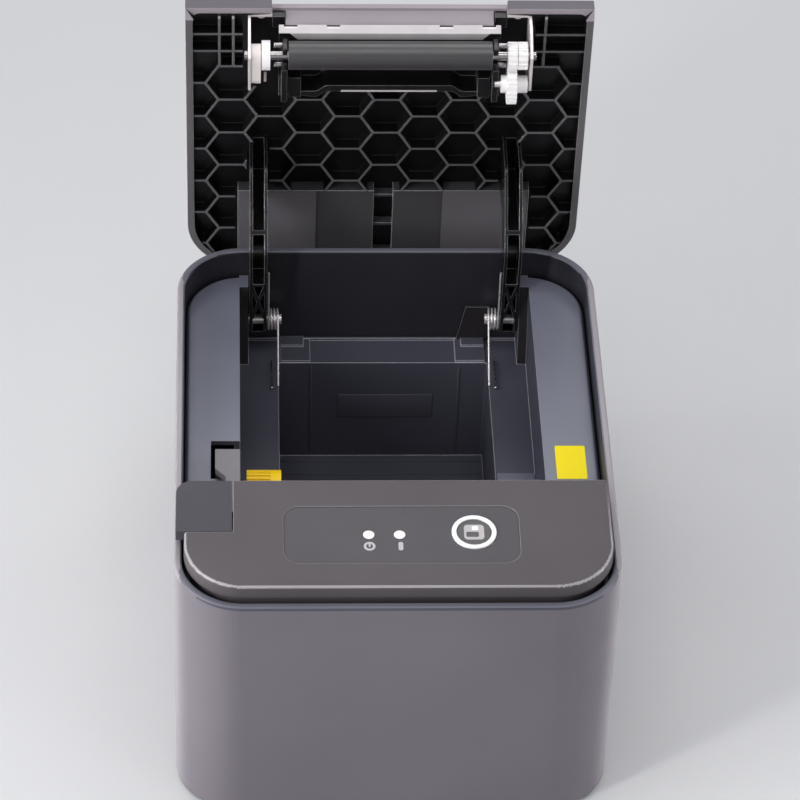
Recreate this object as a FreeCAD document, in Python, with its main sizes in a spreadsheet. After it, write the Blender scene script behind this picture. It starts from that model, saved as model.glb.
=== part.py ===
import FreeCAD, Part
import math
import os
import re

import Sketcher
from FreeCAD import Placement, Rotation, Vector

# Receipt printer with its lid open. Millimetres, +X right, +Y to the rear, +Z up,
# origin on the ground under the middle of the case.

SIZES = {
    # case
    "case_width": 160,
    "case_depth": 197,
    "rim_height": 107,
    "case_corner": 25,
    "case_wall": 3,
    "rim_round": 0.9,
    "foot_height": 1.2,
    "foot_radius": 7,
    "foot_inset": 22,
    "base_thick": 2.5,
    "base_gap": 0.2,
    "base_screw_radius": 1.6,
    "base_head_radius": 3.2,
    "base_head_thick": 1.4,
    "base_screw_back": 36,
    "base_screw_length": 14,
    "boss_radius": 4.5,
    "case_step": 2.5,
    # tray
    "ledge_drop": 11.5,
    "ledge_round": 2,
    "shelf_drop": 44.5,
    "tray_gap": 0.3,
    "tray_wall": 2.2,
    "tray_foot": 10.5,
    "well_half": 56.2,
    "bay_half": 41,
    "bay_floor": 12.9,
    "bay_rear_gap": 14.2,
    "bay_front": 3,
    "bay_round": 1,
    "mech_drop": 69,
    "mech_front": 90,
    "stop_height": 12.5,
    "stop_depth": 4,
    "slot_width": 13,
    "slot_front": 20,
    "slot_rear": 0.5,
    "slot_depth": 22,
    "slot_inner": 54,
    "cheek_thick": 3.5,
    "cheek_top_depth": 7,
    "cheek_foot_depth": 15,
    "heel_outer": 40,
    "heel_inner": 28.5,
    "heel_depth": 13.8,
    "heel_lift": 0.8,
    "heel_back_inner": 31,
    "heel_back_depth": 5.5,
    "heel_back_lift": 1.6,
    "sill_depth": 0.8,
    "sill_lift": 1,
    # cover and lid share one deck above the rim
    "deck_inset": 3.6,
    "deck_lift": 6.8,
    "deck_rise": 2.5,
    "deck_round": 1.6,
    "reveal": 1.6,
    "cover_depth": 55.4,
    "cover_skin": 2.2,
    "cover_skirt_inset": 2,
    "cover_skirt_wall": 2,
    "deck_gap": 0.7,
    # controls on the cover
    "window_width": 84,
    "window_depth": 27.7,
    "window_corner": 6,
    "window_recess": 1.2,
    "window_sink": 0.3,
    "window_shift": 1,
    "window_front": 11.4,
    "light_radius": 2.05,
    "light_left": 10.75,
    "light_pitch": 11,
    "light_back": 0.2,
    "feed_x": 26.8,
    "feed_back": 1,
    "feed_ring_radius": 8,
    "feed_ring_width": 1.7,
    "feed_radius": 6.1,
    "feed_stem": 4,
    "ring_proud": 0.3,
    # cover release
    "release_width": 20,
    "release_depth": 24.5,
    "release_edge": 0.7,
    "release_gap": 0.5,
    "release_travel": 2,
    "release_round": 6,
    "release_skin": 2.4,
    "release_stem": 11,
    "lever_width": 9.2,
    "lever_inner": 56.2,
    "lever_reach": 33.4,
    "lever_thick": 3,
    "lever_hook": 7,
    "lever_drop": 9.5,
    "lever_neck": 5.3,
    "lever_head": 10.3,
    "lever_taper": 4.2,
    # lid
    "lid_clear": 1.3,
    "lid_skin": 2.2,
    "lid_skirt": 2.7,
    "lid_corner": 24,
    "lid_rear_inset": 6,
    "rib_thick": 1,
    "rib_recess": 0.8,
    "cell_flat": 17.1,
    "cell_start": 53.65,
    "notch_half": 44.1,
    "notch_depth": 3,
    "lip_half": 39,
    "lip_run": 4.2,
    "lip_thick": 1.8,
    "grid_depth": 28,
    "grid_first": 10,
    "grid_second": 15.2,
    "grid_near": 11.8,
    "grid_far": 20.3,
    "open_angle": 85,
    # flat inner panel of the lid
    "panel_half": 56.8,
    "panel_gap_half": 4.2,
    "panel_length": 38,
    "panel_thick": 1.6,
    "panel_rungs": 3,
    "rung_thick": 1.2,
    "rung_first": 3.4,
    "rung_pitch": 15.7,
    # hinge
    "hinge_inset": 8.5,
    "hinge_drop": 29.5,
    "pin_radius": 2,
    "pin_clear": 0.05,
    "end_play": 0.2,
    "pin_inner": 39.8,
    "arm_inner": 45.5,
    "arm_width": 6.8,
    "arm_half": 5,
    "arm_rise_start": 31,
    "arm_foot_front": 64,
    "arm_foot_rear": 40,
    "arm_wall": 1.2,
    "arm_bar": 1.2,
    "arm_bend": 6,
    "arm_far_bar": 23,
    "arm_high_bar": 46.1,
    "arm_cross_at": 14.3,
    "arm_cross_half": 10.3,
    "spring_wire": 0.4,
    "spring_radius": 4,
    "spring_pitch": 1.3,
    "spring_leg": 27,
    "spring_foot": 27,
    # platen and what carries it, placed from the lid's front edge and underside
    "platen_setback": 11.7,
    "platen_drop": 10.9,
    "platen_radius": 5.4,
    "platen_half": 38,
    "shaft_radius": 1.75,
    "shaft_half": 54.4,
    "gear_module": 0.6,
    "platen_teeth": 16,
    "compound_teeth": 24,
    "gear_start": 43.8,
    "gear_thick": 3.6,
    "wide_gear_start": 47.6,
    "wide_gear_thick": 3.6,
    "collar_start": 44.8,
    "collar_thick": 3.2,
    "collar_radius": 5.6,
    "bearing_start": 48.3,
    "bearing_thick": 3.6,
    "bearing_radius": 4.3,
    "bearing_tail": 8.3,
    "compound_swing": 12,
    "hub_start": 41.6,
    "hub_length": 9.9,
    "hub_radius": 3.4,
    "pin_thin": 1.25,
    "bracket_start": 52,
    "bracket_thick": 1,
    "bracket_front": 2.9,
    "bracket_length": 28,
    "bracket_drop": 15.8,
    "bracket_tail": 6,
    "bracket_flange": 8,
    "bracket_lift": 1.7,
    "bracket_screw_drop": 2.1,
    "frame_half": 41.5,
    "frame_thick": 2.2,
    "frame_length": 28.5,
    "frame_front": 9.5,
    "frame_bar_drop": 10,
    "bar_front": 27.7,
    "bar_depth": 2.9,
    "bar_dip": 2.9,
    "dip_start": 23.5,
    "dip_end": 28.5,
    "dip_share": 0.9,
    "pad_inner": 33.2,
    "pad_outer": 37.7,
    "pad_front": 23,
    "pad_rear": 32.7,
    "pad_proud": 1,
    "end_front": 17,
    "block_inner": 39.3,
    "block_outer": 43.9,
    "block_front": 4.2,
    "block_rear": 9.4,
    "block_height": 3.6,
    "seat_front": 8.3,
    "seat_rear": 10.5,
    "frame_end": 2.2,
    "frame_end_gap": 0.4,
    "blade_half": 41.5,
    "blade_start": 5.5,
    "blade_run": 2.2,
    "blade_rise": 2.4,
    "blade_flat": 3,
    "blade_shoulder": 37.5,
    "blade_narrow": 34.5,
    "blade_notch": 0.9,
    "notch_near": 18.6,
    "notch_far": 34.6,
    "notch_width": 5,
    "blade_thick": 0.8,
    "blade_drop": 3.2,
    "strip_half": 18,
    "strip_width": 0.7,
    "strip_thick": 0.3,
    "screw_radius": 1.6,
    "screw_head": 1.1,
    # print mechanism under the cover
    "chassis_half": 47.4,
    "chassis_wall": 1.5,
    "chassis_front": 88,
    "chassis_rear": 24,
    "chassis_step": 37,
    "chassis_low_drop": 25,
    "chassis_high_drop": 8,
    "bulkhead_y": 46,
    "head_half": 40,
    "head_gap": 0.4,
    "head_thick": 1.2,
    "head_drop": 23,
    "head_height": 16,
    "sink_fin": 1.6,
    "sink_fins": 5,
    "motor_radius": 17,
    "motor_length": 18,
    "motor_y": 67,
    "motor_drop": 48.27,
    "motor_shaft": 1.5,
    "pinion_teeth": 12,
    "pinion_start": 49.4,
    "drive_teeth": 72,
    "drive_thick": 1.6,
    "drive_hub": 4,
    "tip_gap": 0.5,
    "mesh_gap": 0.1,
    # cutter
    "cutter_half": 47,
    "cutter_front": 76,
    "cutter_rear": 45.5,
    "cutter_drop": 8,
    "cutter_height": 6,
    "cutter_wall": 1.4,
    "knife_half": 42,
    "knife_depth": 22,
    "knife_thick": 1,
    "knife_vee": 5,
    "knife_gap": 0.3,
    "gearbox_width": 17,
    "gearbox_front": 23.4,
    "gearbox_rear": 9,
    "gearbox_height": 22,
    "wheel_radius": 8.6,
    "wheel_width": 12.8,
    "wheel_plain": 4,
    "wheel_y": 13,
    "wheel_drop": 25.5,
    "wheel_gap": 0.5,
    "wheel_axle": 2,
    "wheel_grooves": 28,
    "groove_depth": 0.6,
    # electronics at the rear
    "board_lift": 3,
    "board_thick": 1.6,
    "board_half": 52,
    "board_front": 30,
    "post_radius": 3,
    "socket_gap": 0.3,
    "socket_depth": 12,
    "dc_x": -44,
    "dc_width": 10,
    "dc_height": 11,
    "dc_bore": 3.2,
    "usb_x": -18,
    "usb_width": 12.2,
    "usb_height": 11.2,
    "net_x": 8,
    "net_width": 16.2,
    "net_height": 13.6,
    "drawer_x": 36,
    "drawer_width": 13.4,
    "drawer_height": 12.6,
    "socket_wall": 1.2,
    "socket_mouth": 8,
    "rocker_x": -40,
    "rocker_drop": 18.5,
    "rocker_width": 13,
    "rocker_height": 19,
    "rocker_flange": 1.6,
    "rocker_wall": 1.5,
    "rocker_gap": 0.6,
    "rocker_proud": 2,
}

# heights that hang from the case's rim, so that they follow it
HEIGHTS = {
    "deck_front": "rim_height + deck_lift",
    "ledge_height": "rim_height - ledge_drop",
    "shelf_height": "rim_height - shelf_drop",
    "mech_floor": "rim_height - mech_drop",
    "hinge_height": "rim_height - hinge_drop",
    "chassis_low": "rim_height - chassis_low_drop",
    "chassis_high": "rim_height - chassis_high_drop",
    "head_bottom": "rim_height - head_drop",
    "motor_z": "rim_height - motor_drop",
    "cutter_low": "rim_height - cutter_drop",
    "wheel_z": "rim_height - wheel_drop",
    "rocker_z": "shelf_height - rocker_drop",
}

doc = FreeCAD.newDocument("receipt_printer")
sheet = doc.addObject("Spreadsheet::Sheet", "Sizes")
entries = dict(SIZES)
for alias, formula in HEIGHTS.items():
    entries[alias] = f"={formula}"
for row, (alias, entry) in enumerate(entries.items(), start=1):
    sheet.set(f"A{row}", alias)
    sheet.set(f"B{row}", str(entry))
    sheet.setAlias(f"B{row}", alias)
probe = doc.addObject("App::FeaturePython", "Probe")
probe.addProperty("App::PropertyFloat", "Value")
doc.recompute()

nodes = []


def tied(text):
    """An expression with the sheet's name before each of its aliases."""
    return re.sub(r"[a-z][a-z_]+", lambda m: "Sizes." + m[0] if m[0] in entries else m[0], str(text))


def bind(obj, prop, text):
    obj.setExpression(prop, tied(text))


def value(text):
    """The number that an expression gives with the sheet as it is."""
    bind(probe, "Value", text)
    probe.recompute()
    return probe.Value


def box(xs, ys, zs):
    """A block between two expressions on each axis."""
    obj = doc.addObject("Part::Box", "Block")
    for prop, axis, (low, high) in zip(("Length", "Width", "Height"), "xyz", (xs, ys, zs)):
        bind(obj, prop, f"({high}) - ({low})")
        bind(obj, f"Placement.Base.{axis}", low)
    return obj


def rod(start, end, y, z, radius):
    """A cylinder along X from start to end."""
    obj = doc.addObject("Part::Cylinder", "Rod")
    obj.Placement = Placement(Vector(), Rotation(Vector(0, 1, 0), 90))
    bind(obj, "Radius", radius)
    bind(obj, "Height", f"({end}) - ({start})")
    bind(obj, "Placement.Base.x", start)
    bind(obj, "Placement.Base.y", y)
    bind(obj, "Placement.Base.z", z)
    return obj


def post(x, y, low, high, radius):
    """A cylinder along Z from low to high."""
    obj = doc.addObject("Part::Cylinder", "Post")
    bind(obj, "Radius", radius)
    bind(obj, "Height", f"({high}) - ({low})")
    bind(obj, "Placement.Base.x", x)
    bind(obj, "Placement.Base.y", y)
    bind(obj, "Placement.Base.z", low)
    return obj


def spindle(x, start, end, z, radius):
    """A cylinder along Y from start to end."""
    obj = doc.addObject("Part::Cylinder", "Spindle")
    obj.Placement = Placement(Vector(), Rotation(Vector(1, 0, 0), -90))
    bind(obj, "Radius", radius)
    bind(obj, "Height", f"({end}) - ({start})")
    bind(obj, "Placement.Base.x", x)
    bind(obj, "Placement.Base.y", start)
    bind(obj, "Placement.Base.z", z)
    return obj


def joined(*objs):
    obj = doc.addObject("Part::MultiFuse", "Joined")
    obj.Shapes = list(objs)
    return obj


def group(*objs):
    obj = doc.addObject("Part::Compound", "Group")
    obj.Links = list(objs)
    return obj


def cut(base, *tools):
    obj = doc.addObject("Part::Cut", "Cut")
    obj.Base = base
    obj.Tool = tools[0] if len(tools) == 1 else joined(*tools)
    return obj


def common(base, tool):
    obj = doc.addObject("Part::Common", "Common")
    obj.Base = base
    obj.Tool = tool
    return obj


def rounded(base, radius, pick):
    """A fillet on the edges of base that pick chooses."""
    doc.recompute()
    amount = value(radius)
    obj = doc.addObject("Part::Fillet", "Rounded")
    obj.Base = base
    obj.Edges = [(i, amount, amount) for i, edge in enumerate(base.Shape.Edges, start=1) if pick(edge)]
    return obj


def along(axis):
    """Picks straight edges that run along one axis."""
    direction = {"x": Vector(1, 0, 0), "y": Vector(0, 1, 0), "z": Vector(0, 0, 1)}[axis]

    def pick(edge):
        if edge.Curve.TypeId != "Part::GeomLine":
            return False
        return abs(abs(edge.Curve.Direction.dot(direction)) - 1) < 1e-6
    return pick


def at_height(text):
    """Picks edges that lie wholly at one height."""
    level = value(text)

    def pick(edge):
        return abs(edge.BoundBox.ZMin - level) < 1e-4 and abs(edge.BoundBox.ZMax - level) < 1e-4
    return pick


def slab(xs, ys, zs, corner):
    """A block with round upright corners."""
    return rounded(box(xs, ys, zs), corner, along("z"))


def profile(role, points, start, length):
    """A body padded from an outline whose corner points are expressions."""
    body = doc.addObject("PartDesign::Body", "Profile")
    sketch = body.newObject("Sketcher::SketchObject", "Outline")
    plane = [feature for feature in body.Origin.OriginFeatures if feature.Role == role][0]
    sketch.AttachmentSupport = [(plane, "")]
    sketch.MapMode = "FlatFace"
    bind(sketch, "AttachmentOffset.Base.z", start)
    count = len(points)
    turns = [2 * math.pi * i / count for i in range(count)]
    corners = [Vector(math.cos(turn), math.sin(turn)) for turn in turns]
    for i in range(count):
        sketch.addGeometry(Part.LineSegment(corners[i], corners[(i + 1) % count]), False)
    for i in range(count):
        sketch.addConstraint(Sketcher.Constraint("Coincident", i, 2, (i + 1) % count, 1))
    for i, point in enumerate(points):
        for kind, text in zip("XY", point):
            index = sketch.addConstraint(Sketcher.Constraint("Distance" + kind, -1, 1, i, 1, value(text)))
            sketch.renameConstraint(index, f"{kind}{i}")
            bind(sketch, f"Constraints.{kind}{i}", text)
    pad = body.newObject("PartDesign::Pad", "Pad")
    pad.Profile = sketch
    bind(pad, "Length", length)
    return body


def side_profile(points, start, length):
    """An outline in Y and Z, padded along X."""
    return profile("YZ_Plane", points, start, length)


def mirrored(base):
    obj = doc.addObject("Part::Mirroring", "Mirrored")
    obj.Source = base
    obj.Normal = Vector(1, 0, 0)
    return obj


def node(obj, label):
    """Marks a finished sub-part and gives it its name."""
    obj.Label = label
    nodes.append(obj)
    return obj


def feature(shape):
    obj = doc.addObject("Part::Feature", "Formed")
    obj.Shape = shape
    return obj


# Shared places, as expressions
FRONT = "-case_depth / 2"
REAR = "case_depth / 2"
HALF = "case_width / 2"
DECK_HALF = "(case_width / 2 - deck_inset)"
DECK_NOSE = "(deck_inset - case_depth / 2)"
COVER_REAR = "(cover_depth - case_depth / 2)"
DECK_TOP = "(deck_front + deck_rise)"
LID_FRONT = "(cover_depth - case_depth / 2 + deck_gap)"
LID_REAR = "(case_depth / 2 - lid_rear_inset)"
LID_LOW = "(rim_height + lid_clear)"
RIB_LOW = "(rim_height + lid_clear + rib_recess)"
SKIN_LOW = "(deck_front + deck_rise - lid_skin)"
HINGE_Y = "(case_depth / 2 - hinge_inset)"
HINGE_Z = "hinge_height"
PLATEN_Y = "(cover_depth - case_depth / 2 + deck_gap + platen_setback)"
PLATEN_Z = "(rim_height + lid_clear - platen_drop)"
TRAY_HALF = "(case_width / 2 - case_wall - tray_gap)"
TRAY_REAR = "(case_depth / 2 - case_wall - tray_gap)"
BASE_TOP = "(foot_height + base_thick)"
BOARD_TOP = "(foot_height + base_thick + board_lift + board_thick)"
BAY_REAR = "(case_depth / 2 - case_wall - tray_gap - bay_rear_gap)"
SCREW_X = "((case_width / 2 - case_wall + well_half + tray_wall) / 2)"
SCREW_Y = "(case_depth / 2 - base_screw_back)"
PANEL_END = "(case_depth / 2 - lid_rear_inset - lid_skirt - rib_thick)"
WORKS_HALF = "(shaft_half + tip_gap)"


def open_up(obj):
    """Turns a piece drawn with the lid shut about the hinge pins to the open lid."""
    turn = "(open_angle * 1 deg)"
    carrier = group(obj)
    carrier.Placement = Placement(Vector(), Rotation(Vector(1, 0, 0), -1))
    bind(carrier, "Placement.Rotation.Angle", "-open_angle")
    bind(carrier, "Placement.Base.y", f"{HINGE_Y} - {HINGE_Y} * cos({turn}) - {HINGE_Z} * sin({turn})")
    bind(carrier, "Placement.Base.z", f"{HINGE_Z} + {HINGE_Y} * sin({turn}) - {HINGE_Z} * cos({turn})")
    return carrier


def on_deck(obj):
    """Tips a piece drawn on a level deck to the cover's slope, about the cover's front edge."""
    carrier = group(obj)
    carrier.Placement = Placement(Vector(), Rotation(Vector(1, 0, 0), 1))
    bind(carrier, "Placement.Rotation.Angle", "atan(deck_rise / (cover_depth - deck_inset))")
    bind(carrier, "Placement.Base.y", DECK_NOSE)
    bind(carrier, "Placement.Base.z", "deck_front")
    return carrier


# Case, base plate and feet
SOCKETS = ("dc", "usb", "net", "drawer")


def socket_hole(kind):
    """The window in the rear wall for one socket."""
    half = f"({kind}_width / 2 + socket_gap)"
    return box((f"{kind}_x - {half}", f"{kind}_x + {half}"),
               (f"{REAR} - 2 * case_wall", f"{REAR} + case_wall"),
               (f"{BOARD_TOP} - socket_gap", f"{BOARD_TOP} + {kind}_height + socket_gap"))


def make_case():
    outer = slab((f"-{HALF}", HALF), (FRONT, REAR), ("foot_height", "rim_height"), "case_corner")
    inner = slab((f"case_wall - {HALF}", f"{HALF} - case_wall"),
                 (f"case_wall + {FRONT}", f"{REAR} - case_wall"),
                 ("0", "rim_height + case_wall"), "case_corner - case_wall")
    shell = rounded(cut(outer, inner), "rim_round", at_height("rim_height"))
    step_half = f"({HALF} - case_wall - case_step)"
    step_deep = f"({REAR} - case_wall - case_step)"
    step = cut(slab((f"case_wall / 2 - {HALF}", f"{HALF} - case_wall / 2"),
                    (f"case_wall / 2 + {FRONT}", f"{REAR} - case_wall / 2"), (BASE_TOP, "tray_foot"),
                    "case_corner - case_wall / 2"),
               slab((f"-{step_half}", step_half), (f"-{step_deep}", step_deep), ("0", "rim_height"),
                    "case_corner - case_wall - case_step"),
               box(("-board_half - case_step", "board_half + case_step"), ("0", f"{REAR} - case_wall"),
                   ("0", "rim_height")))
    rocker = box(("rocker_x - rocker_width / 2", "rocker_x + rocker_width / 2"),
                 (f"{REAR} - 2 * case_wall", f"{REAR} + case_wall"),
                 ("rocker_z - rocker_height / 2", "rocker_z + rocker_height / 2"))
    node(cut(joined(shell, step), rocker, *[socket_hole(kind) for kind in SOCKETS]), "case")


def four(x, y, *sizes):
    """Four posts, mirrored left to right and front to rear."""
    return [post(f"{sx} * {x}", f"{sy} * {y}", *sizes) for sx in ("-1", "1") for sy in ("-1", "1")]


def make_base():
    half = f"({HALF} - case_wall - base_gap)"
    deep = f"({REAR} - case_wall - base_gap)"
    plate = slab((f"-{half}", half), (f"-{deep}", deep), ("foot_height", BASE_TOP),
                 "case_corner - case_wall - base_gap")
    heads = four(SCREW_X, SCREW_Y, "foot_height", "foot_height + base_head_thick", "base_head_radius")
    shanks = four(SCREW_X, SCREW_Y, "foot_height", "foot_height + base_screw_length", "base_screw_radius")
    node(cut(plate, *heads, *shanks), "base_plate")
    node(group(*[joined(head, shank) for head, shank in zip(heads, shanks)]), "base_screws")
    feet = four(f"({HALF} - foot_inset)", f"({REAR} - foot_inset)", "0", "foot_height", "foot_radius")
    middle = post("0", "0", "0", "foot_height", "foot_radius")
    node(group(*feet, middle), "rubber_feet")


# Tray with its ledges, shelves and roll well
def make_tray():
    block = slab((f"-{TRAY_HALF}", TRAY_HALF), (f"-{TRAY_REAR}", TRAY_REAR), ("tray_foot", "ledge_height"),
                 "case_corner - case_wall - tray_gap")
    block = rounded(block, "ledge_round", at_height("ledge_height"))
    under = slab((f"tray_wall - {TRAY_HALF}", f"{TRAY_HALF} - tray_wall"),
                 (f"tray_wall - {TRAY_REAR}", f"{TRAY_REAR} - tray_wall"),
                 ("0", "ledge_height - tray_wall"), "case_corner - case_wall - tray_gap - tray_wall")
    shelf = box(("-well_half", "well_half"), ("-bay_front", REAR),
                ("shelf_height", "ledge_height + tray_wall"))
    mech = box(("-well_half", "well_half"), ("-mech_front", "-bay_front"),
               ("mech_floor", "ledge_height + tray_wall"))
    bay = slab(("-bay_half", "bay_half"), ("-bay_front", BAY_REAR), ("bay_floor", "ledge_height"),
               "bay_round")
    bay_throat = box(("-bay_half", "bay_half"), ("-bay_front - tray_wall", "bay_round"),
                     ("mech_floor", "ledge_height"))
    shelf_out = box(("-well_half - tray_wall", "well_half + tray_wall"), ("-bay_front - tray_wall", REAR),
                    ("shelf_height - tray_wall", "rim_height"))
    mech_out = box(("-well_half - tray_wall", "well_half + tray_wall"),
                   ("-mech_front - tray_wall", "-bay_front"),
                   ("mech_floor - tray_wall", "rim_height"))
    bay_out = box(("-bay_half - tray_wall", "bay_half + tray_wall"),
                  ("-bay_front - tray_wall", f"{BAY_REAR} + tray_wall"),
                  ("bay_floor - tray_wall", "rim_height"))
    rear_gate = box(("-board_half - case_step", "board_half + case_step"),
                    (f"{TRAY_REAR} - 2 * tray_wall", REAR), ("0", "shelf_height - tray_wall"))
    shell = cut(cut(block, cut(under, shelf_out, mech_out, bay_out)), shelf, mech, bay, bay_throat, rear_gate)
    bosses = four(SCREW_X, SCREW_Y, BASE_TOP, "ledge_height - tray_wall / 2", "boss_radius")
    shanks = four(SCREW_X, SCREW_Y, "0", "foot_height + base_screw_length", "base_screw_radius")
    slot = box(("-slot_inner - slot_width", "-slot_inner"), ("-slot_front", "slot_rear"),
               ("ledge_height - slot_depth", "ledge_height + tray_wall"))
    stop = box(("bay_half", "well_half"), ("-bay_front", "stop_depth - bay_front"),
               ("shelf_height", "shelf_height + stop_height"))
    back = TRAY_REAR
    cheek = side_profile([(back, "shelf_height"), (f"{back} - cheek_foot_depth", "shelf_height"),
                          (f"{back} - cheek_top_depth", "ledge_height"), (back, "ledge_height")],
                         "well_half - cheek_thick", "cheek_thick")
    heel = box(("heel_inner", "heel_outer"), (f"{back} - heel_depth", back),
               ("shelf_height - tray_wall / 2", "shelf_height + heel_lift"))
    heel_back = box(("heel_back_inner", "heel_outer"), (f"{back} - heel_back_depth", back),
                    ("shelf_height - tray_wall / 2", "shelf_height + heel_back_lift"))
    sill = box(("-well_half", "well_half"), (f"{back} - sill_depth", back),
               ("shelf_height - tray_wall / 2", "shelf_height + sill_lift"))
    bore = rod("-well_half - tray_wall", "well_half + tray_wall", HINGE_Y, HINGE_Z, "pin_radius")
    right = [cheek, heel, heel_back]
    whole = joined(cut(shell, slot), stop, sill, *right, *[mirrored(piece) for piece in right], *bosses)
    node(cut(whole, bore, *shanks), "tray")


# Front cover and its controls
def make_cover():
    outer = slab((f"-{DECK_HALF}", DECK_HALF), (DECK_NOSE, f"{COVER_REAR} + case_corner"),
                 ("rim_height + reveal", f"{DECK_TOP} + case_wall"), "case_corner - deck_inset")
    skirt = f"({DECK_HALF} - cover_skirt_inset)"
    inset = slab((f"-{skirt}", skirt), (f"{DECK_NOSE} + cover_skirt_inset", f"{COVER_REAR} + case_corner"),
                 ("ledge_height", "rim_height + reveal"), "case_corner - deck_inset - cover_skirt_inset")
    hollow_half = f"({skirt} - cover_skirt_wall)"
    hollow = slab((f"-{hollow_half}", hollow_half),
                  (f"{DECK_NOSE} + cover_skirt_inset + cover_skirt_wall", f"{COVER_REAR} + 2 * case_corner"),
                  ("0", DECK_TOP), "case_corner - deck_inset - cover_skirt_inset - cover_skirt_wall")
    skin = on_deck(box((f"-{HALF}", HALF), ("-case_wall", "2 * cover_depth"), ("-cover_skin", "rim_height")))
    lip = box((f"-{HALF}", HALF), (f"{COVER_REAR} - cover_skirt_wall", REAR),
              ("rim_height + reveal", "2 * rim_height"))
    hollow = cut(hollow, skin, lip)
    above = on_deck(box((f"-{HALF}", HALF), ("-case_wall", "2 * cover_depth"), ("0", "rim_height")))
    behind = box((f"-{HALF}", HALF), (COVER_REAR, REAR), ("0", "2 * rim_height"))
    shell = rounded(cut(outer, above), "deck_round",
                    lambda edge: edge.BoundBox.ZMin > value("deck_front") - 0.01)
    bare = cut(joined(shell, inset), hollow, behind)
    release = box(("-case_width", f"release_width + release_edge - {HALF} + release_gap"),
                  (f"{COVER_REAR} - release_depth - release_gap", "0"), ("0", "2 * rim_height"))
    window = on_deck(slab(("window_shift - window_width / 2", "window_shift + window_width / 2"),
                          ("window_front", "window_front + window_depth"),
                          ("-window_recess", "window_recess"), "window_corner"))
    middle = "(window_front + window_depth / 2)"
    feed_y = f"({middle} + feed_back)"
    lights = [on_deck(post(f"{i} * light_pitch - light_left", f"{middle} + light_back",
                           "-cover_skin - window_recess - case_wall", "0", "light_radius")) for i in range(2)]
    feed = on_deck(post("feed_x", feed_y, "-cover_skin - window_recess - case_wall", "0", "feed_ring_radius"))
    node(cut(bare, release, window, *lights, feed), "front_cover")

    plate = slab(("window_shift - window_width / 2", "window_shift + window_width / 2"),
                 ("window_front", "window_front + window_depth"), ("-window_recess", "-window_sink"),
                 "window_corner")
    holes = [post(f"{i} * light_pitch - light_left", f"{middle} + light_back", "-cover_skin", "cover_skin",
                  "light_radius") for i in range(2)]
    hole = post("feed_x", feed_y, "-cover_skin", "cover_skin", "feed_ring_radius")
    node(on_deck(cut(plate, hole, *holes)), "panel_window")
    lights = [post(f"{i} * light_pitch - light_left", f"{middle} + light_back", "-cover_skin - window_recess",
                   "-window_sink", "light_radius") for i in range(2)]
    node(on_deck(group(*lights)), "status_lights")
    ring = cut(post("feed_x", feed_y, "-cover_skin - window_recess", "ring_proud", "feed_ring_radius"),
               post("feed_x", feed_y, "-2 * cover_skin", "cover_skin", "feed_ring_radius - feed_ring_width"))
    node(on_deck(ring), "feed_button_ring")
    button = post("feed_x", feed_y, "-cover_skin - window_recess", "0", "feed_radius")
    stem = post("feed_x", feed_y, "-cover_skin - window_recess - feed_stem", "-cover_skin", "feed_radius / 2")
    node(on_deck(joined(button, stem)), "feed_button")


def make_release():
    left = f"(release_edge - {HALF})"
    right = f"({left} + release_width)"
    front = f"({COVER_REAR} - release_depth)"
    block = box((left, right), (front, COVER_REAR),
                ("rim_height + reveal + release_travel", f"{DECK_TOP} + case_wall"))
    above = on_deck(box((f"-{HALF}", HALF), ("-case_wall", "2 * cover_depth"), ("0", "rim_height")))
    block = rounded(cut(block, above), "release_round", lambda edge: along("z")(edge)
                    and edge.BoundBox.XMax < value(left) + 1 and edge.BoundBox.YMax > value(COVER_REAR) - 1)
    stem_left = f"(case_wall + tray_gap + release_travel - {HALF})"
    stem = box((stem_left, right), (front, COVER_REAR),
               ("rim_height + reveal + release_travel - release_stem",
                "rim_height + reveal + release_travel"))
    hollow = box((f"{stem_left} + release_skin", f"{right} - release_skin"),
                 (f"{front} + release_skin", f"{COVER_REAR} - release_skin"),
                 ("0", "deck_front - release_skin"))
    node(cut(joined(block, stem), hollow), "release_button")
    low = "(ledge_height + release_travel + tray_gap)"
    end = f"({COVER_REAR} + lever_reach)"
    bar = profile("XY_Plane", [("-lever_inner - lever_neck", COVER_REAR), ("-lever_inner", COVER_REAR),
                               ("-lever_inner", end), ("-lever_inner - lever_width", end),
                               ("-lever_inner - lever_width", f"{end} - lever_head"),
                               ("-lever_inner - lever_neck", f"{end} - lever_head - lever_taper")],
                  low, "lever_thick")
    hook = profile("XZ_Plane", [("-lever_inner - lever_width", f"{low} + lever_thick"),
                                ("-lever_inner", f"{low} + lever_thick"),
                                ("-lever_inner", f"{low} - lever_drop"),
                                ("-lever_inner - lever_width + lever_thick", f"{low} - lever_drop"),
                                ("-lever_inner - lever_width", f"{low} - lever_drop + lever_thick")],
                   f"-{end}", "lever_hook")
    node(joined(bar, hook), "release_lever")


# Lid: shell, honeycomb, inner panel
def hex_cells(top):
    """Honeycomb pockets over the whole lid, with one column on the middle line."""
    cells = []
    circum = "((cell_flat - rib_thick) / sqrt(3))"
    columns = math.ceil(value("case_width / 2 / (cell_flat * sqrt(3) / 2)"))
    rows = math.ceil(value("case_depth / 2 / cell_flat"))
    for column in range(-columns, columns + 1):
        for row in range(-rows, rows):
            cell = doc.addObject("Part::Prism", "Cell")
            cell.Polygon = 6
            bind(cell, "Circumradius", circum)
            bind(cell, "Height", f"{top} - {LID_LOW} + rib_thick")
            bind(cell, "Placement.Base.x", f"{column} * cell_flat * sqrt(3) / 2")
            bind(cell, "Placement.Base.y",
                 f"{LID_FRONT} + cell_start + ({row} + {abs(column) % 2} / 2) * cell_flat")
            bind(cell, "Placement.Base.z", f"{LID_LOW} - rib_thick")
            cells.append(cell)
    return group(*cells)


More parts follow.
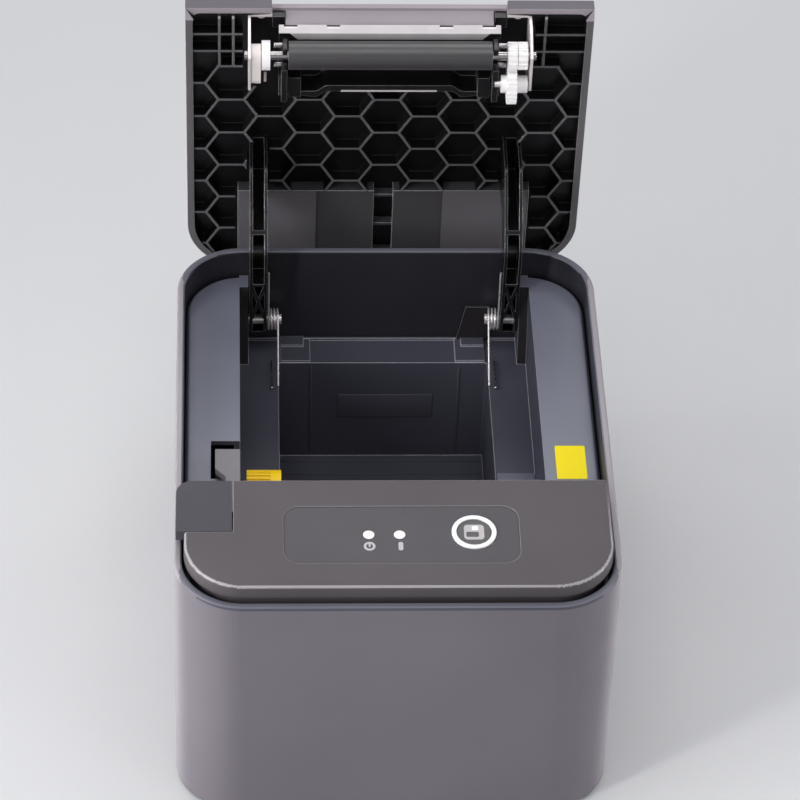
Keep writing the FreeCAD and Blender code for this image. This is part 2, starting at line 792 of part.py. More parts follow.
def corner_ribs(inner_half):
    """Straight ribs in the lid's front corners, where the honeycomb stops. The left has one more."""
    heights = (RIB_LOW, f"{SKIN_LOW} + lid_skin / 2")

    def upright(inset):
        middle = f"({inner_half} - {inset})"
        return box((f"{middle} - rib_thick / 2", f"{middle} + rib_thick / 2"),
                   (f"{LID_FRONT} + lid_skirt / 2", f"{LID_FRONT} + grid_depth"), heights)
    rows = [box((WORKS_HALF, f"{inner_half} + lid_skirt / 2"),
                (f"{LID_FRONT} + {at} - rib_thick / 2", f"{LID_FRONT} + {at} + rib_thick / 2"), heights)
            for at in ("grid_near", "grid_far")]
    right = [upright("grid_second"), *rows]
    return [*right, *[mirrored(rib) for rib in right], mirrored(upright("grid_first"))]


def make_lid():
    outer = slab((f"-{DECK_HALF}", DECK_HALF), (f"{LID_FRONT} - lid_corner", LID_REAR), (LID_LOW, DECK_TOP),
                 "lid_corner")
    outer = cut(outer, box((f"-{HALF}", HALF), (FRONT, LID_FRONT), ("0", "2 * rim_height")))
    outer = rounded(outer, "deck_round", at_height(DECK_TOP))
    inner_half = f"({DECK_HALF} - lid_skirt)"
    inner = slab((f"-{inner_half}", inner_half), (f"{LID_FRONT} + lid_skirt", f"{LID_REAR} - lid_skirt"),
                 (f"{LID_LOW} - lid_skirt", SKIN_LOW), "lid_skirt")
    rear = slab((f"-{inner_half}", inner_half), (f"{LID_FRONT} - lid_corner", f"{LID_REAR} - lid_skirt"),
                (f"{LID_LOW} - lid_skirt", SKIN_LOW), "lid_corner - lid_skirt")
    inside = common(inner, rear)
    mouth = box(("-notch_half", "notch_half"), (FRONT, f"{LID_FRONT} + notch_depth"), ("0", "2 * rim_height"))
    works = box((f"-{WORKS_HALF}", WORKS_HALF),
                (f"{LID_FRONT} + lid_skirt", f"{LID_FRONT} + frame_length + frame_front"), ("0", SKIN_LOW))
    seat = box(("-panel_half - rib_thick", "panel_half + rib_thick"),
               (f"{PANEL_END} - panel_length", f"{LID_REAR} - lid_skirt"), ("0", SKIN_LOW))
    recess = box((f"-{HALF}", HALF), (FRONT, REAR), ("0", RIB_LOW))
    arm_room = box(("arm_inner - rib_thick", "arm_inner + arm_width + rib_thick"),
                   (f"{HINGE_Y} - arm_foot_front - rib_thick", f"{HINGE_Y} - arm_foot_rear + rib_thick"),
                   ("0", SKIN_LOW))
    corners = box((f"-{HALF}", HALF), (FRONT, f"{LID_FRONT} + grid_depth - rib_thick / 2"), ("0", SKIN_LOW))
    cells = joined(hex_cells(SKIN_LOW), corners, works, seat, recess)
    shell = cut(outer, common(cells, inside), mouth, arm_room, mirrored(arm_room))
    edge = f"({LID_FRONT} + notch_depth)"
    lip_back = f"{edge} + lip_run + lip_thick"
    lip = side_profile([(edge, DECK_TOP), (f"{edge} + lip_run", RIB_LOW), (lip_back, RIB_LOW),
                        (lip_back, DECK_TOP)],
                       "-lip_half", "2 * lip_half")
    node(open_up(joined(shell, lip, *corner_ribs(inner_half))), "lid")

    low = RIB_LOW
    start = f"({PANEL_END} - panel_length)"
    end = PANEL_END
    plate = box(("-panel_half", "panel_half"), (start, end), (low, SKIN_LOW))
    under = box(("rib_thick - panel_half", "panel_half - rib_thick"),
                (f"{start} + rib_thick", f"{end} - rib_thick"), (f"{low} + panel_thick", SKIN_LOW))
    gap = box(("-panel_gap_half", "panel_gap_half"), (start, end), ("0", SKIN_LOW))
    rails = [box((f"{side} * panel_gap_half - rib_thick / 2", f"{side} * panel_gap_half + rib_thick / 2"),
                 (start, end), (low, SKIN_LOW)) for side in ("-1", "1")]
    rungs = [box(("-panel_gap_half", "panel_gap_half"),
                 (f"{start} + rung_first + {i} * rung_pitch",
                  f"{start} + rung_first + {i} * rung_pitch + rung_thick"),
                 (f"{low} + panel_thick", SKIN_LOW)) for i in range(SIZES["panel_rungs"])]
    node(open_up(joined(cut(plate, under, gap), *rails, *rungs)), "lid_inner_panel")


# Hinge arms, pins and torsion springs
def arm_form(start, width, shift):
    """The gooseneck of the right arm with the lid shut, moved forward and down by shift."""
    def spot(dy, dz):
        return (f"{HINGE_Y} + ({dy}) - {shift}", f"{HINGE_Z} + ({dz}) - {shift}")
    foot = f"{SKIN_LOW} - {HINGE_Z}"
    outline = [spot("0", "-arm_half"), spot("0", "arm_half"), spot("-arm_rise_start", "arm_half"),
               spot("-arm_foot_rear", f"({foot}) / 2"), spot("-arm_foot_rear", foot),
               spot("-arm_foot_front", foot),
               spot("-arm_foot_front", f"({foot}) / 2"), spot("-arm_rise_start - 2 * arm_half", "-arm_half")]
    beam = rounded(side_profile(outline, start, width), "arm_bend",
                   lambda edge: along("x")(edge) and edge.BoundBox.YMax < value(f"{HINGE_Y} - arm_half")
                   and edge.BoundBox.ZMax < value(f"{SKIN_LOW} - 2 * arm_wall"))
    hub = rod(start, f"{start} + {width}", f"{HINGE_Y} - {shift}", f"{HINGE_Z} - {shift}", "arm_half")
    return joined(beam, hub)


def make_hinges():
    whole = arm_form("arm_inner", "arm_width", "0")
    hollow = arm_form("arm_inner + arm_wall", "arm_width - 2 * arm_wall", "arm_wall")
    bore = rod("arm_inner - arm_wall", "arm_inner + arm_width + arm_wall", HINGE_Y, HINGE_Z,
               "pin_radius + pin_clear")
    low = f"{HINGE_Z} - arm_half"
    bars = [box(("arm_inner", "arm_inner + arm_width"), (f"{HINGE_Y} - {at} - arm_bar", f"{HINGE_Y} - {at}"),
                (low, SKIN_LOW)) for at in ("arm_far_bar", "arm_high_bar")]
    crosses = []
    for side in ("1", "-1"):
        rib = box(("-arm_bar / 2", "arm_bar / 2"), ("-arm_cross_half", "arm_cross_half"),
                  ("0", "2 * arm_half"))
        carrier = group(rib)
        carrier.Placement = Placement(Vector(), Rotation(Vector(0, 0, 1), 1))
        bind(carrier, "Placement.Rotation.Angle",
             f"{side} * atan((arm_width - 2 * arm_wall) / (arm_rise_start / 2))")
        bind(carrier, "Placement.Base.x", "arm_inner + arm_width / 2")
        bind(carrier, "Placement.Base.y", f"{HINGE_Y} - arm_cross_at")
        bind(carrier, "Placement.Base.z", low)
        crosses.append(carrier)
    ribs = common(joined(*crosses, *bars), common(whole, hollow))
    right = open_up(cut(joined(cut(whole, hollow), ribs), bore))
    node(right, "right_hinge_arm")
    node(mirrored(right), "left_hinge_arm")
    pin = rod("pin_inner", "well_half + tray_wall", HINGE_Y, HINGE_Z, "pin_radius")
    node(pin, "right_hinge_pin")
    node(mirrored(pin), "left_hinge_pin")


def arc_from(start, tangent, end):
    """The arc that leaves start along tangent and meets end."""
    chord = end - start
    along_chord = Vector(chord).normalize()
    away = tangent - along_chord * tangent.dot(along_chord)
    angle = math.atan2(away.Length, tangent.dot(along_chord))
    middle = start + chord * 0.5 + away.normalize() * (chord.Length / 2 * math.tan(angle / 2))
    return Part.Arc(start, middle, end).toShape()


def biarc(start, leave, end, arrive):
    """Two arcs, tangent to each other, between two points and directions."""
    chord = end - start
    both = leave + arrive
    spread = 2 * (1 - leave.dot(arrive))
    reach = (math.sqrt(chord.dot(both) ** 2 + spread * chord.dot(chord)) - chord.dot(both)) / spread
    middle = (start + leave * reach + end - arrive * reach) * 0.5
    second = arc_from(end, arrive * -1, middle)
    halfway = second.valueAt(second.getParameterByLength(second.Length / 2))
    return [arc_from(start, leave, middle), Part.Arc(middle, halfway, end).toShape()]


def torsion_spring():
    """Right spring: hooked leg up the arm, turns round the pin, leg down to the shelf."""
    radius, pitch, wire = value("spring_radius"), value("spring_pitch"), value("spring_wire")
    outer_x = value("arm_inner") - 1.5 * wire
    centre_y, centre_z = value(HINGE_Y), value(HINGE_Z)
    foot_drop = centre_z - value("shelf_height") - 1.5 * wire
    foot = value("spring_foot")
    lean = math.asin(foot_drop / math.hypot(foot, radius)) + math.atan2(radius, foot)
    first = math.pi
    last = 6 * math.pi + math.pi / 2 + lean
    count = 12

    def at(angle):
        x = outer_x - pitch * (angle - first) / (2 * math.pi)
        return Vector(x, centre_y + radius * math.cos(angle), centre_z + radius * math.sin(angle))

    def heading(angle):
        drift = 0 if angle in (first, last) else -pitch / (2 * math.pi)
        return Vector(drift, -radius * math.sin(angle), radius * math.cos(angle)).normalize()
    angles = [first + (last - first) * i / count for i in range(count)] + [last]
    top = at(first) - heading(first) * value("spring_leg")
    edges = [Part.LineSegment(top, at(first)).toShape()]
    for low, high in zip(angles, angles[1:]):
        edges += biarc(at(low), heading(low), at(high), heading(high))
    edges.append(Part.LineSegment(at(last), at(last) + heading(last) * foot).toShape())
    path = Part.Wire(edges)
    circle = Part.Circle(top, heading(first), wire)
    shell = Part.BRepOffsetAPI.MakePipeShell(path)
    shell.add(Part.Wire([circle.toShape()]))
    shell.build()
    shell.makeSolid()
    solid = shell.shape()
    points = path.discretize(Distance=wire)
    apart = int(math.pi * radius / wire)
    gap = min((a - b).Length for i, a in enumerate(points) for b in points[i + apart:]) - 2 * wire
    print(f"spring gap to itself {gap:.2f} mm, volume {solid.Volume:.2f}, "
          f"section times length {math.pi * wire ** 2 * path.Length:.2f}")
    return solid


def make_springs():
    right = feature(torsion_spring())
    node(right, "right_hinge_spring")
    node(mirrored(right), "left_hinge_spring")


# Platen and the pieces round it
TIP = 0.75
ROOT = -1.1
TOOTH = ((-0.27, ROOT), (-0.1, TIP), (0.1, TIP), (0.27, ROOT))


def gear(teeth, start, thick, y, z, turn=0, bore=0):
    """A spur gear along X. Each tooth's corners stand at a share of the step and a reach in modules."""
    module = value("gear_module")
    count = int(value(teeth))
    pitch = module * count / 2
    step = 2 * math.pi / count
    points = []
    for tooth in range(count):
        middle = tooth * step + turn
        for share, reach in TOOTH:
            angle = middle + share * step
            radius = pitch + reach * module
            points.append(Vector(0, radius * math.cos(angle), radius * math.sin(angle)))
    face = Part.Face(Part.makePolygon(points + points[:1]))
    solid = face.extrude(Vector(value(thick), 0, 0))
    if bore:
        solid = solid.cut(Part.makeCylinder(value(bore), value(thick), Vector(), Vector(1, 0, 0)))
    solid.translate(Vector(value(start), value(y), value(z)))
    return feature(solid)


def compound_axis():
    """Where the compound gear meshes with the platen gear, with the lid shut."""
    reach = "(gear_module * (platen_teeth + compound_teeth) / 2 + mesh_gap)"
    return (f"({PLATEN_Y} + {reach} * cos(compound_swing * 1 deg))",
            f"({PLATEN_Z} - {reach} * sin(compound_swing * 1 deg))")


def make_platen():
    shaft = rod("-shaft_half", "shaft_half", PLATEN_Y, PLATEN_Z, "shaft_radius")
    node(open_up(shaft), "platen_shaft")

    def sleeve(start, end, radius):
        return cut(rod(start, end, PLATEN_Y, PLATEN_Z, radius),
                   rod(start, end, PLATEN_Y, PLATEN_Z, "shaft_radius"))
    node(open_up(sleeve("-platen_half", "platen_half", "platen_radius")), "platen_rubber")
    narrow = gear("platen_teeth", "gear_start", "gear_thick", PLATEN_Y, PLATEN_Z, bore="shaft_radius")
    node(open_up(narrow), "platen_gear")
    wide = gear("platen_teeth", "wide_gear_start", "wide_gear_thick", PLATEN_Y, PLATEN_Z, bore="shaft_radius")
    node(open_up(wide), "platen_drive_gear")
    node(open_up(sleeve("-collar_start - collar_thick", "-collar_start", "collar_radius")), "platen_collar")
    outer, inner = "-bearing_start - bearing_thick", "-bearing_start"
    ends = [rod(outer, inner, at, PLATEN_Z, "bearing_radius")
            for at in (PLATEN_Y, f"{PLATEN_Y} + bearing_tail")]
    web = box((outer, inner), (PLATEN_Y, f"{PLATEN_Y} + bearing_tail"),
              (f"{PLATEN_Z} - bearing_radius", f"{PLATEN_Z} + bearing_radius"))
    bore = rod("-shaft_half", "0", PLATEN_Y, PLATEN_Z, "shaft_radius + pin_clear")
    node(open_up(cut(joined(web, *ends), bore)), "platen_bearing")

    y, z = compound_axis()
    swing = math.radians(value("compound_swing"))
    platen_step = 2 * math.pi / value("platen_teeth")
    compound_step = 2 * math.pi / value("compound_teeth")
    phase = (-swing / platen_step) % 1
    turn = math.pi - swing + compound_step * (0.5 + phase)
    wheel = gear("compound_teeth", "gear_start", "gear_thick", y, z, turn)
    hub = rod("hub_start", "hub_start + hub_length", y, z, "hub_radius")
    bore = rod("0", "shaft_half", y, z, "pin_thin + pin_clear")
    node(open_up(cut(joined(wheel, hub), bore)), "compound_gear")
    node(open_up(rod("hub_start - frame_end", "bracket_start", y, z, "pin_thin")), "compound_pin")


def make_platen_frame():
    def back(text):
        return f"({LID_FRONT} + {text})"
    top = SKIN_LOW
    plate = box(("-frame_half", "frame_half"), (back("frame_front"), back("frame_front + frame_length")),
                (f"{LID_LOW} - frame_thick / 2", f"{LID_LOW} + frame_thick / 2"))
    legs = [box(("-frame_half", "frame_half"),
                (back(f"frame_front + {at}"), back(f"frame_front + {at} + frame_thick")),
                (LID_LOW, top)) for at in ("0", "frame_length - frame_thick")]
    seat = box(("-frame_half", "frame_half"), (back("seat_front"), back("seat_rear")),
               (f"{LID_LOW} - blade_drop + blade_thick", LID_LOW))
    step = "(dip_end - dip_start) / 3"
    near = [("dip_start", "bar_front"), (f"dip_start + {step}", "bar_front + bar_dip / 3"),
            (f"dip_end - {step}", "bar_front + bar_dip * dip_share"), ("dip_end", "bar_front + bar_dip"),
            ("pad_inner", "bar_front + bar_dip"), ("pad_inner", "pad_front"), ("pad_outer", "pad_front"),
            ("frame_half", "pad_front"), ("frame_half", "pad_rear"), ("pad_inner", "pad_rear"),
            ("dip_end", "bar_front + bar_dip + bar_depth"),
            (f"dip_end - {step}", "bar_front + bar_dip * dip_share + bar_depth"),
            (f"dip_start + {step}", "bar_front + bar_dip / 3 + bar_depth"),
            ("dip_start", "bar_front + bar_depth")]
    outline = [(x, back(y)) for x, y in near] + [(f"-({x})", back(y)) for x, y in reversed(near)]
    bar = profile("XY_Plane", outline, f"{LID_LOW} - frame_bar_drop", "frame_bar_drop")
    pad = box(("pad_inner", "pad_outer"), (back("pad_front"), back("pad_rear")),
              (f"{LID_LOW} - frame_bar_drop - pad_proud", LID_LOW))
    block = box(("block_inner", "block_outer"), (back("block_front"), back("block_rear")),
                (f"{top} - block_height", top))
    tie = box(("block_inner", "frame_half"),
              (back("block_front + frame_thick"), back("frame_front + frame_thick")),
              (f"{top} - block_height", top))
    inner = "(platen_half + frame_end_gap)"
    end = box((inner, f"{inner} + frame_end"), (back("end_front"), back("pad_rear")),
              (f"{LID_LOW} - platen_drop - platen_radius / 2", LID_LOW))
    room = rod("-frame_half", "frame_half", PLATEN_Y, PLATEN_Z, "platen_radius + tip_gap")
    pin_hole = rod("0", "bracket_start", *compound_axis(), "pin_thin")
    right = [pad, block, tie, end]
    whole = joined(plate, seat, bar, *legs, *right, *[mirrored(piece) for piece in right])
    node(open_up(cut(whole, room, pin_hole)), "platen_frame")

    low = f"({LID_LOW} - blade_drop)"
    bend = "(blade_start + blade_run)"
    sheet_back = "sqrt(2) * blade_thick"
    section = [(back("blade_start"), f"{low} + blade_rise"), (back(bend), low),
               (back(f"{bend} + blade_flat"), low), (back(f"{bend} + blade_flat"), f"{low} + blade_thick"),
               (back(f"{bend} + {sheet_back} - blade_run * blade_thick / blade_rise"),
                f"{low} + blade_thick"),
               (back(f"blade_start + {sheet_back}"), f"{low} + blade_rise")]
    sheet_metal = side_profile(section, "-blade_half", "2 * blade_half")
    plan = [("blade_half", "0"), ("blade_half", bend), ("blade_shoulder", bend),
            ("blade_narrow", f"{bend} + blade_flat"), ("blade_narrow", f"{bend} + 2 * blade_flat")]
    plan = [(x, back(y)) for x, y in plan] + [(f"-{x}", back(y)) for x, y in reversed(plan)]
    shape = profile("XY_Plane", plan, "0", "2 * rim_height")
    notches = [box((near, f"{near} + notch_width"), (LID_FRONT, back("blade_start + blade_notch")),
                   ("0", "2 * rim_height")) for near in ("notch_near", "notch_far")]
    notches += [mirrored(notch) for notch in notches]
    node(open_up(cut(common(sheet_metal, shape), *notches)), "fixed_blade")
    strip = box(("-strip_half", "strip_half"), (back("bar_front + bar_depth - strip_width"),
                                                back("bar_front + bar_depth")),
                (f"{LID_LOW} - frame_bar_drop - strip_thick", f"{LID_LOW} - frame_bar_drop"))
    node(open_up(strip), "guide_strip")


def make_brackets():
    front = f"({LID_FRONT} + bracket_front)"
    low = f"({LID_LOW} - bracket_drop)"
    outline = [(front, SKIN_LOW), (front, f"{LID_LOW} - bracket_tail"), (f"{front} + bracket_tail", low),
               (f"{front} + bracket_length - bracket_tail", low),
               (f"{front} + bracket_length", f"{LID_LOW} - bracket_tail"),
               (f"{front} + bracket_length", SKIN_LOW)]
    plate = side_profile(outline, "bracket_start", "bracket_thick")
    flange = box(("bracket_start - bracket_flange", "bracket_start"), (front, f"{front} + bracket_thick"),
                 (f"{LID_LOW} + bracket_lift", SKIN_LOW))
    hole = rod("0", HALF, PLATEN_Y, PLATEN_Z, "shaft_radius + tip_gap")
    right = node(open_up(cut(joined(plate, flange), hole)), "right_bracket")
    node(mirrored(right), "left_bracket")
    head = spindle("bracket_start - bracket_flange / 2", f"{front} + bracket_thick",
                   f"{front} + bracket_thick + screw_head", f"{SKIN_LOW} - bracket_screw_drop",
                   "screw_radius")
    right = open_up(head)
    node(group(right, mirrored(right)), "bracket_screws")


# Print mechanism under the cover
def make_mechanism():
    side = side_profile([("-chassis_front", "mech_floor"), ("-chassis_rear", "mech_floor"),
                         ("-chassis_rear", "chassis_low"), ("-chassis_step", "chassis_low"),
                         ("-chassis_step", "chassis_high"), ("-chassis_front", "chassis_high")],
                        "chassis_half", "chassis_wall")
    floor = box(("-chassis_half", "chassis_half"), ("-chassis_front", "-chassis_rear"),
                ("mech_floor", "mech_floor + chassis_wall"))
    bulkhead = box(("-chassis_half", "chassis_half"), ("-bulkhead_y", "chassis_wall - bulkhead_y"),
                   ("mech_floor", "chassis_high"))
    shaft_hole = rod("0", HALF, "-motor_y", "motor_z", "motor_shaft + tip_gap")
    node(cut(joined(side, mirrored(side), floor, bulkhead), shaft_hole), "print_chassis")

    head_face = f"({PLATEN_Y} - platen_radius - head_gap)"
    head = box(("-head_half", "head_half"), (f"{head_face} - head_thick", head_face),
               ("head_bottom", "head_bottom + head_height"))
    node(head, "thermal_head")
    back = "(chassis_wall - bulkhead_y)"
    sink = box(("-head_half", "head_half"), (back, f"{head_face} - head_thick"),
               ("head_bottom", "head_bottom + head_height"))
    grooves = [box(("-case_width", "case_width"), (back, f"{back} + sink_fin * 2"),
                   (f"head_bottom + (2 * {i} + 1) * head_height / (2 * sink_fins + 1)",
                    f"head_bottom + (2 * {i} + 2) * head_height / (2 * sink_fins + 1)"))
               for i in range(SIZES["sink_fins"])]
    node(cut(sink, *grooves), "heat_sink")

    body = rod("chassis_half - motor_length", "chassis_half", "-motor_y", "motor_z", "motor_radius")
    shaft = rod("chassis_half", "pinion_start + gear_thick", "-motor_y", "motor_z", "motor_shaft")
    node(joined(body, shaft), "feed_motor")

    run = f"({PLATEN_Y} + motor_y)"
    rise = f"({PLATEN_Z} - motor_z)"
    slope = math.atan2(value(rise), value(run))
    reach = value("gear_module * (pinion_teeth + drive_teeth) / 2 + mesh_gap")
    drive_y = value("-motor_y") + reach * math.cos(slope)
    drive_z = value("motor_z") + reach * math.sin(slope)
    step = 2 * math.pi / value("drive_teeth")
    small_step = 2 * math.pi / value("pinion_teeth")
    phase = ((slope + math.pi) / step) % 1
    pinion = gear("pinion_teeth", "pinion_start", "gear_thick", "-motor_y", "motor_z",
                  slope + small_step * (0.5 + phase), bore="motor_shaft + pin_clear")
    node(pinion, "motor_pinion")
    wheel = gear("drive_teeth", "pinion_start", "drive_thick", str(drive_y), str(drive_z))
    hub = rod("pinion_start - end_play", "pinion_start + gear_thick", str(drive_y), str(drive_z), "drive_hub")
    bore = rod("0", HALF, str(drive_y), str(drive_z), "motor_shaft + pin_clear")
    node(cut(joined(wheel, hub), bore), "drive_gear")
    node(rod("chassis_half + chassis_wall", "pinion_start + gear_thick + end_play", str(drive_y),
             str(drive_z), "motor_shaft"), "drive_axle")
    gap = math.hypot(value(PLATEN_Y) - drive_y, value(PLATEN_Z) - drive_z)
    tips = value("gear_module * (drive_teeth + platen_teeth) / 2") + 2 * TIP * value("gear_module")
    print(f"drive gear at {drive_y:.2f}, {drive_z:.2f}; tip gap to the shut platen gear {gap - tips:.2f} mm")


def make_cutter():
    top = "(cutter_low + cutter_height)"
    body = box(("-cutter_half", "cutter_half"), ("-cutter_front", "-cutter_rear"), ("cutter_low", top))
    room = "(knife_half + knife_gap)"
    slit = box((f"-{room}", room), ("cutter_wall - cutter_front", "0"),
               ("cutter_low + (cutter_height - knife_thick) / 2 - knife_gap",
                "cutter_low + (cutter_height + knife_thick) / 2 + knife_gap"))
    node(cut(body, slit), "cutter_housing")
    rear = "(-cutter_rear - knife_gap)"
    outline = [("-knife_half", f"{rear} - knife_depth"), ("knife_half", f"{rear} - knife_depth"),
               ("knife_half", rear), ("0", f"{rear} - knife_vee"), ("-knife_half", rear)]
    knife = profile("XY_Plane", outline, "cutter_low + (cutter_height - knife_thick) / 2", "knife_thick")
    node(knife, "cutter_blade")

    left = "(tray_gap - well_half)"
    case = box((left, f"{left} + gearbox_width"), ("-gearbox_front", "-gearbox_rear"),
               ("mech_floor", "shelf_height + gearbox_height"))
    slot_half = "(wheel_width / 2 + wheel_gap)"
    middle = f"({left} + gearbox_width / 2)"
    slot = rod(f"{middle} - {slot_half}", f"{middle} + {slot_half}", "-wheel_y", "wheel_z",
               "wheel_radius + wheel_gap")
    axle_hole = rod(left, f"{left} + gearbox_width", "-wheel_y", "wheel_z", "wheel_axle + pin_clear")
    node(cut(case, slot, axle_hole), "cutter_gearbox")
    wheel = rod(f"{middle} - wheel_width / 2", f"{middle} + wheel_width / 2", "-wheel_y", "wheel_z",
                "wheel_radius")
    grooves = []
    for i in range(SIZES["wheel_grooves"]):
        turn = f"({i} * 360 deg / wheel_grooves)"
        grooves.append(rod(f"{middle} - wheel_width", f"{middle} + wheel_width / 2 - wheel_plain",
                           f"wheel_radius * cos({turn}) - wheel_y", f"wheel_radius * sin({turn}) + wheel_z",
                           "groove_depth"))
    axle = rod(left, f"{left} + gearbox_width", "-wheel_y", "wheel_z", "wheel_axle")
    node(joined(cut(wheel, *grooves), axle), "cutter_wheel")


# Electronics
def make_electronics():
    low = f"({BASE_TOP} + board_lift)"
    rear = f"({REAR} - case_wall - socket_gap)"
    node(box(("-board_half", "board_half"), ("-board_front", rear), (low, BOARD_TOP)), "main_board")
    posts = [post(f"{sx} * (board_half - 2 * post_radius)", y, BASE_TOP, low, "post_radius")
             for sx in ("-1", "1") for y in ("2 * post_radius - board_front", f"{rear} - 2 * post_radius")]
    node(group(*posts), "board_posts")
    names = {"dc": "dc_inlet", "usb": "usb_socket", "net": "network_socket", "drawer": "drawer_socket"}
    for kind, name in names.items():
        shell = box((f"{kind}_x - {kind}_width / 2", f"{kind}_x + {kind}_width / 2"),
                    (f"{REAR} - socket_depth", REAR), (BOARD_TOP, f"{BOARD_TOP} + {kind}_height"))
        if kind == "dc":
            mouth = spindle("dc_x", f"{REAR} - socket_mouth", f"{REAR} + socket_mouth",
                            f"{BOARD_TOP} + dc_height / 2", "dc_bore")
        else:
            mouth = box((f"{kind}_x - {kind}_width / 2 + socket_wall",
                         f"{kind}_x + {kind}_width / 2 - socket_wall"),
                        (f"{REAR} - socket_mouth", f"{REAR} + socket_mouth"),
                        (f"{BOARD_TOP} + socket_wall", f"{BOARD_TOP} + {kind}_height - socket_wall"))
        node(cut(shell, mouth), name)


def make_rocker():
    half_x, half_z = "(rocker_width / 2)", "(rocker_height / 2)"
    flange = box((f"rocker_x - {half_x} - rocker_flange", f"rocker_x + {half_x} + rocker_flange"),
                 (REAR, f"{REAR} + rocker_flange"),
                 (f"rocker_z - {half_z} - rocker_flange", f"rocker_z + {half_z} + rocker_flange"))
    sleeve = box((f"rocker_x - {half_x}", f"rocker_x + {half_x}"), (f"{REAR} - socket_depth", REAR),
                 (f"rocker_z - {half_z}", f"rocker_z + {half_z}"))
    room_x, room_z = f"({half_x} - rocker_wall)", f"({half_z} - rocker_wall)"
    room = box((f"rocker_x - {room_x}", f"rocker_x + {room_x}"),
               (f"{REAR} - socket_depth + rocker_wall", f"{REAR} + socket_depth"),
               (f"rocker_z - {room_z}", f"rocker_z + {room_z}"))
    pivot_y = f"({REAR} - rocker_wall)"
    hole = rod(f"rocker_x - {half_x}", f"rocker_x + {half_x}", pivot_y, "rocker_z", "motor_shaft + pin_clear")
    node(cut(joined(flange, sleeve), room, hole), "rocker_bezel")
    tall = f"({room_z} - rocker_gap)"
    outline = [(f"{pivot_y} - rocker_proud", f"rocker_z - {tall} / 2"),
               (f"{pivot_y} - rocker_proud", f"rocker_z + {tall} / 2"),
               (f"{REAR} + rocker_proud / 2", f"rocker_z + {tall}"),
               (f"{REAR} + rocker_proud / 4", "rocker_z"),
               (f"{REAR} + rocker_proud", f"rocker_z - {tall}")]
    cap = side_profile(outline, f"rocker_x - {room_x} + rocker_gap", f"2 * ({room_x} - rocker_gap)")
    pin = rod(f"rocker_x - {half_x}", f"rocker_x + {half_x}", pivot_y, "rocker_z", "motor_shaft")
    node(joined(cap, pin), "power_rocker")


make_case()
make_base()
make_tray()
make_cover()
make_release()
make_lid()
make_hinges()
make_springs()
make_platen()
make_platen_frame()
make_brackets()
make_mechanism()
make_cutter()
make_electronics()
make_rocker()
doc.recompute()

for obj in doc.Objects:
    if {"Invalid", "Error"} & set(obj.State):
        raise RuntimeError(f"{obj.Label} ({obj.Name}) failed: {obj.State}")
for obj in nodes:
    if obj.Shape.isNull() or not obj.Shape.isValid() or not obj.Shape.Solids:
        raise RuntimeError(f"{obj.Label} has no valid solid")

os.makedirs("parts", exist_ok=True)
for obj in nodes:
    obj.Shape.exportStep(f"parts/{obj.Label}.step")
print(len(nodes), "nodes written")
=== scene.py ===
# %% [markdown]
# A receipt printer with its lid standing open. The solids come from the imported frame, and this
# lesson gives them their finishes, adds the small printed and stuck-on details, and lights the whole.

# %% Load the frame
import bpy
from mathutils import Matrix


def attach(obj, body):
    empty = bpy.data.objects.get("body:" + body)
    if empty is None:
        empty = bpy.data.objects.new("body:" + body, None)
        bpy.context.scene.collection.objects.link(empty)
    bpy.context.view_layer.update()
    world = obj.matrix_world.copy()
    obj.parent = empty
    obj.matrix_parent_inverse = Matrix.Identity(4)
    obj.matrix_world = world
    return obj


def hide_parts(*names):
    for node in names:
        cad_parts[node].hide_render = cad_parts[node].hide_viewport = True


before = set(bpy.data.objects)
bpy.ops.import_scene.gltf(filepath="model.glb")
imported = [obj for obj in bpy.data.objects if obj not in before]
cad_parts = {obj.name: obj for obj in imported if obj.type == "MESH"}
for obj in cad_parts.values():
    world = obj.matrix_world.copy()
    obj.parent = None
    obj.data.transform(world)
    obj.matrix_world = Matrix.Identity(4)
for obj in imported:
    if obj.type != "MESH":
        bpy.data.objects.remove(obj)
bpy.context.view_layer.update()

# %% [markdown]
# Everything below needs Blender's Python, bmesh for new pieces, and a little vector mathematics.
# Colours are easiest to think of as screen values from 0 to 255, but shaders work with linear
# light, so one small helper turns the first into the second.

# %% Helpers for colour
import math

import bmesh
import bpy
from mathutils import Matrix, Vector

scene = bpy.context.scene


def tint(red, green, blue):
    """A screen colour as the linear colour that a shader socket takes."""
    linear = []
    for part in (red, green, blue):
        share = part / 255
        linear.append(share / 12.92 if share <= 0.04045 else ((share + 0.055) / 1.055) ** 2.4)
    return (*linear, 1.0)


print("mid grey in linear light:", round(tint(128, 128, 128)[0], 3))

# %% [markdown]
# The camera stands high in front of the printer with a long lens, a little to the left, and is
# rolled by two degrees. It could be aimed with a tracking constraint, but three plain angles and
# a place are easier to read: its axes are worked out from them and become a rotation matrix.

# %% Camera
EYE = Vector((-0.059787, -1.072634, 1.090241))
DOWN, TURN, ROLL = math.radians(42.1915), math.radians(-3.3303), math.radians(2.1616)
LENS, SENSOR = 177.23, 36
heading = Matrix.Rotation(TURN, 3, "Z")
forward = heading @ Vector((0, math.cos(DOWN), -math.sin(DOWN)))
level_right = heading @ Vector((1, 0, 0))
level_up = heading @ Vector((0, math.sin(DOWN), math.cos(DOWN)))
right = math.cos(ROLL) * level_right + math.sin(ROLL) * level_up
up = math.cos(ROLL) * level_up - math.sin(ROLL) * level_right
camera_data = bpy.data.cameras.new("view_camera")
camera_data.lens = LENS
camera_data.sensor_width = SENSOR
camera_data.dof.use_dof = False
camera = bpy.data.objects.new("view_camera", camera_data)
scene.collection.objects.link(camera)
camera.matrix_world = Matrix.Translation(EYE) @ Matrix((right, up, -forward)).transposed().to_4x4()
scene.camera = camera
print("camera", round(EYE.length, 3), "m from the origin, lens", round(camera_data.lens, 1), "mm")

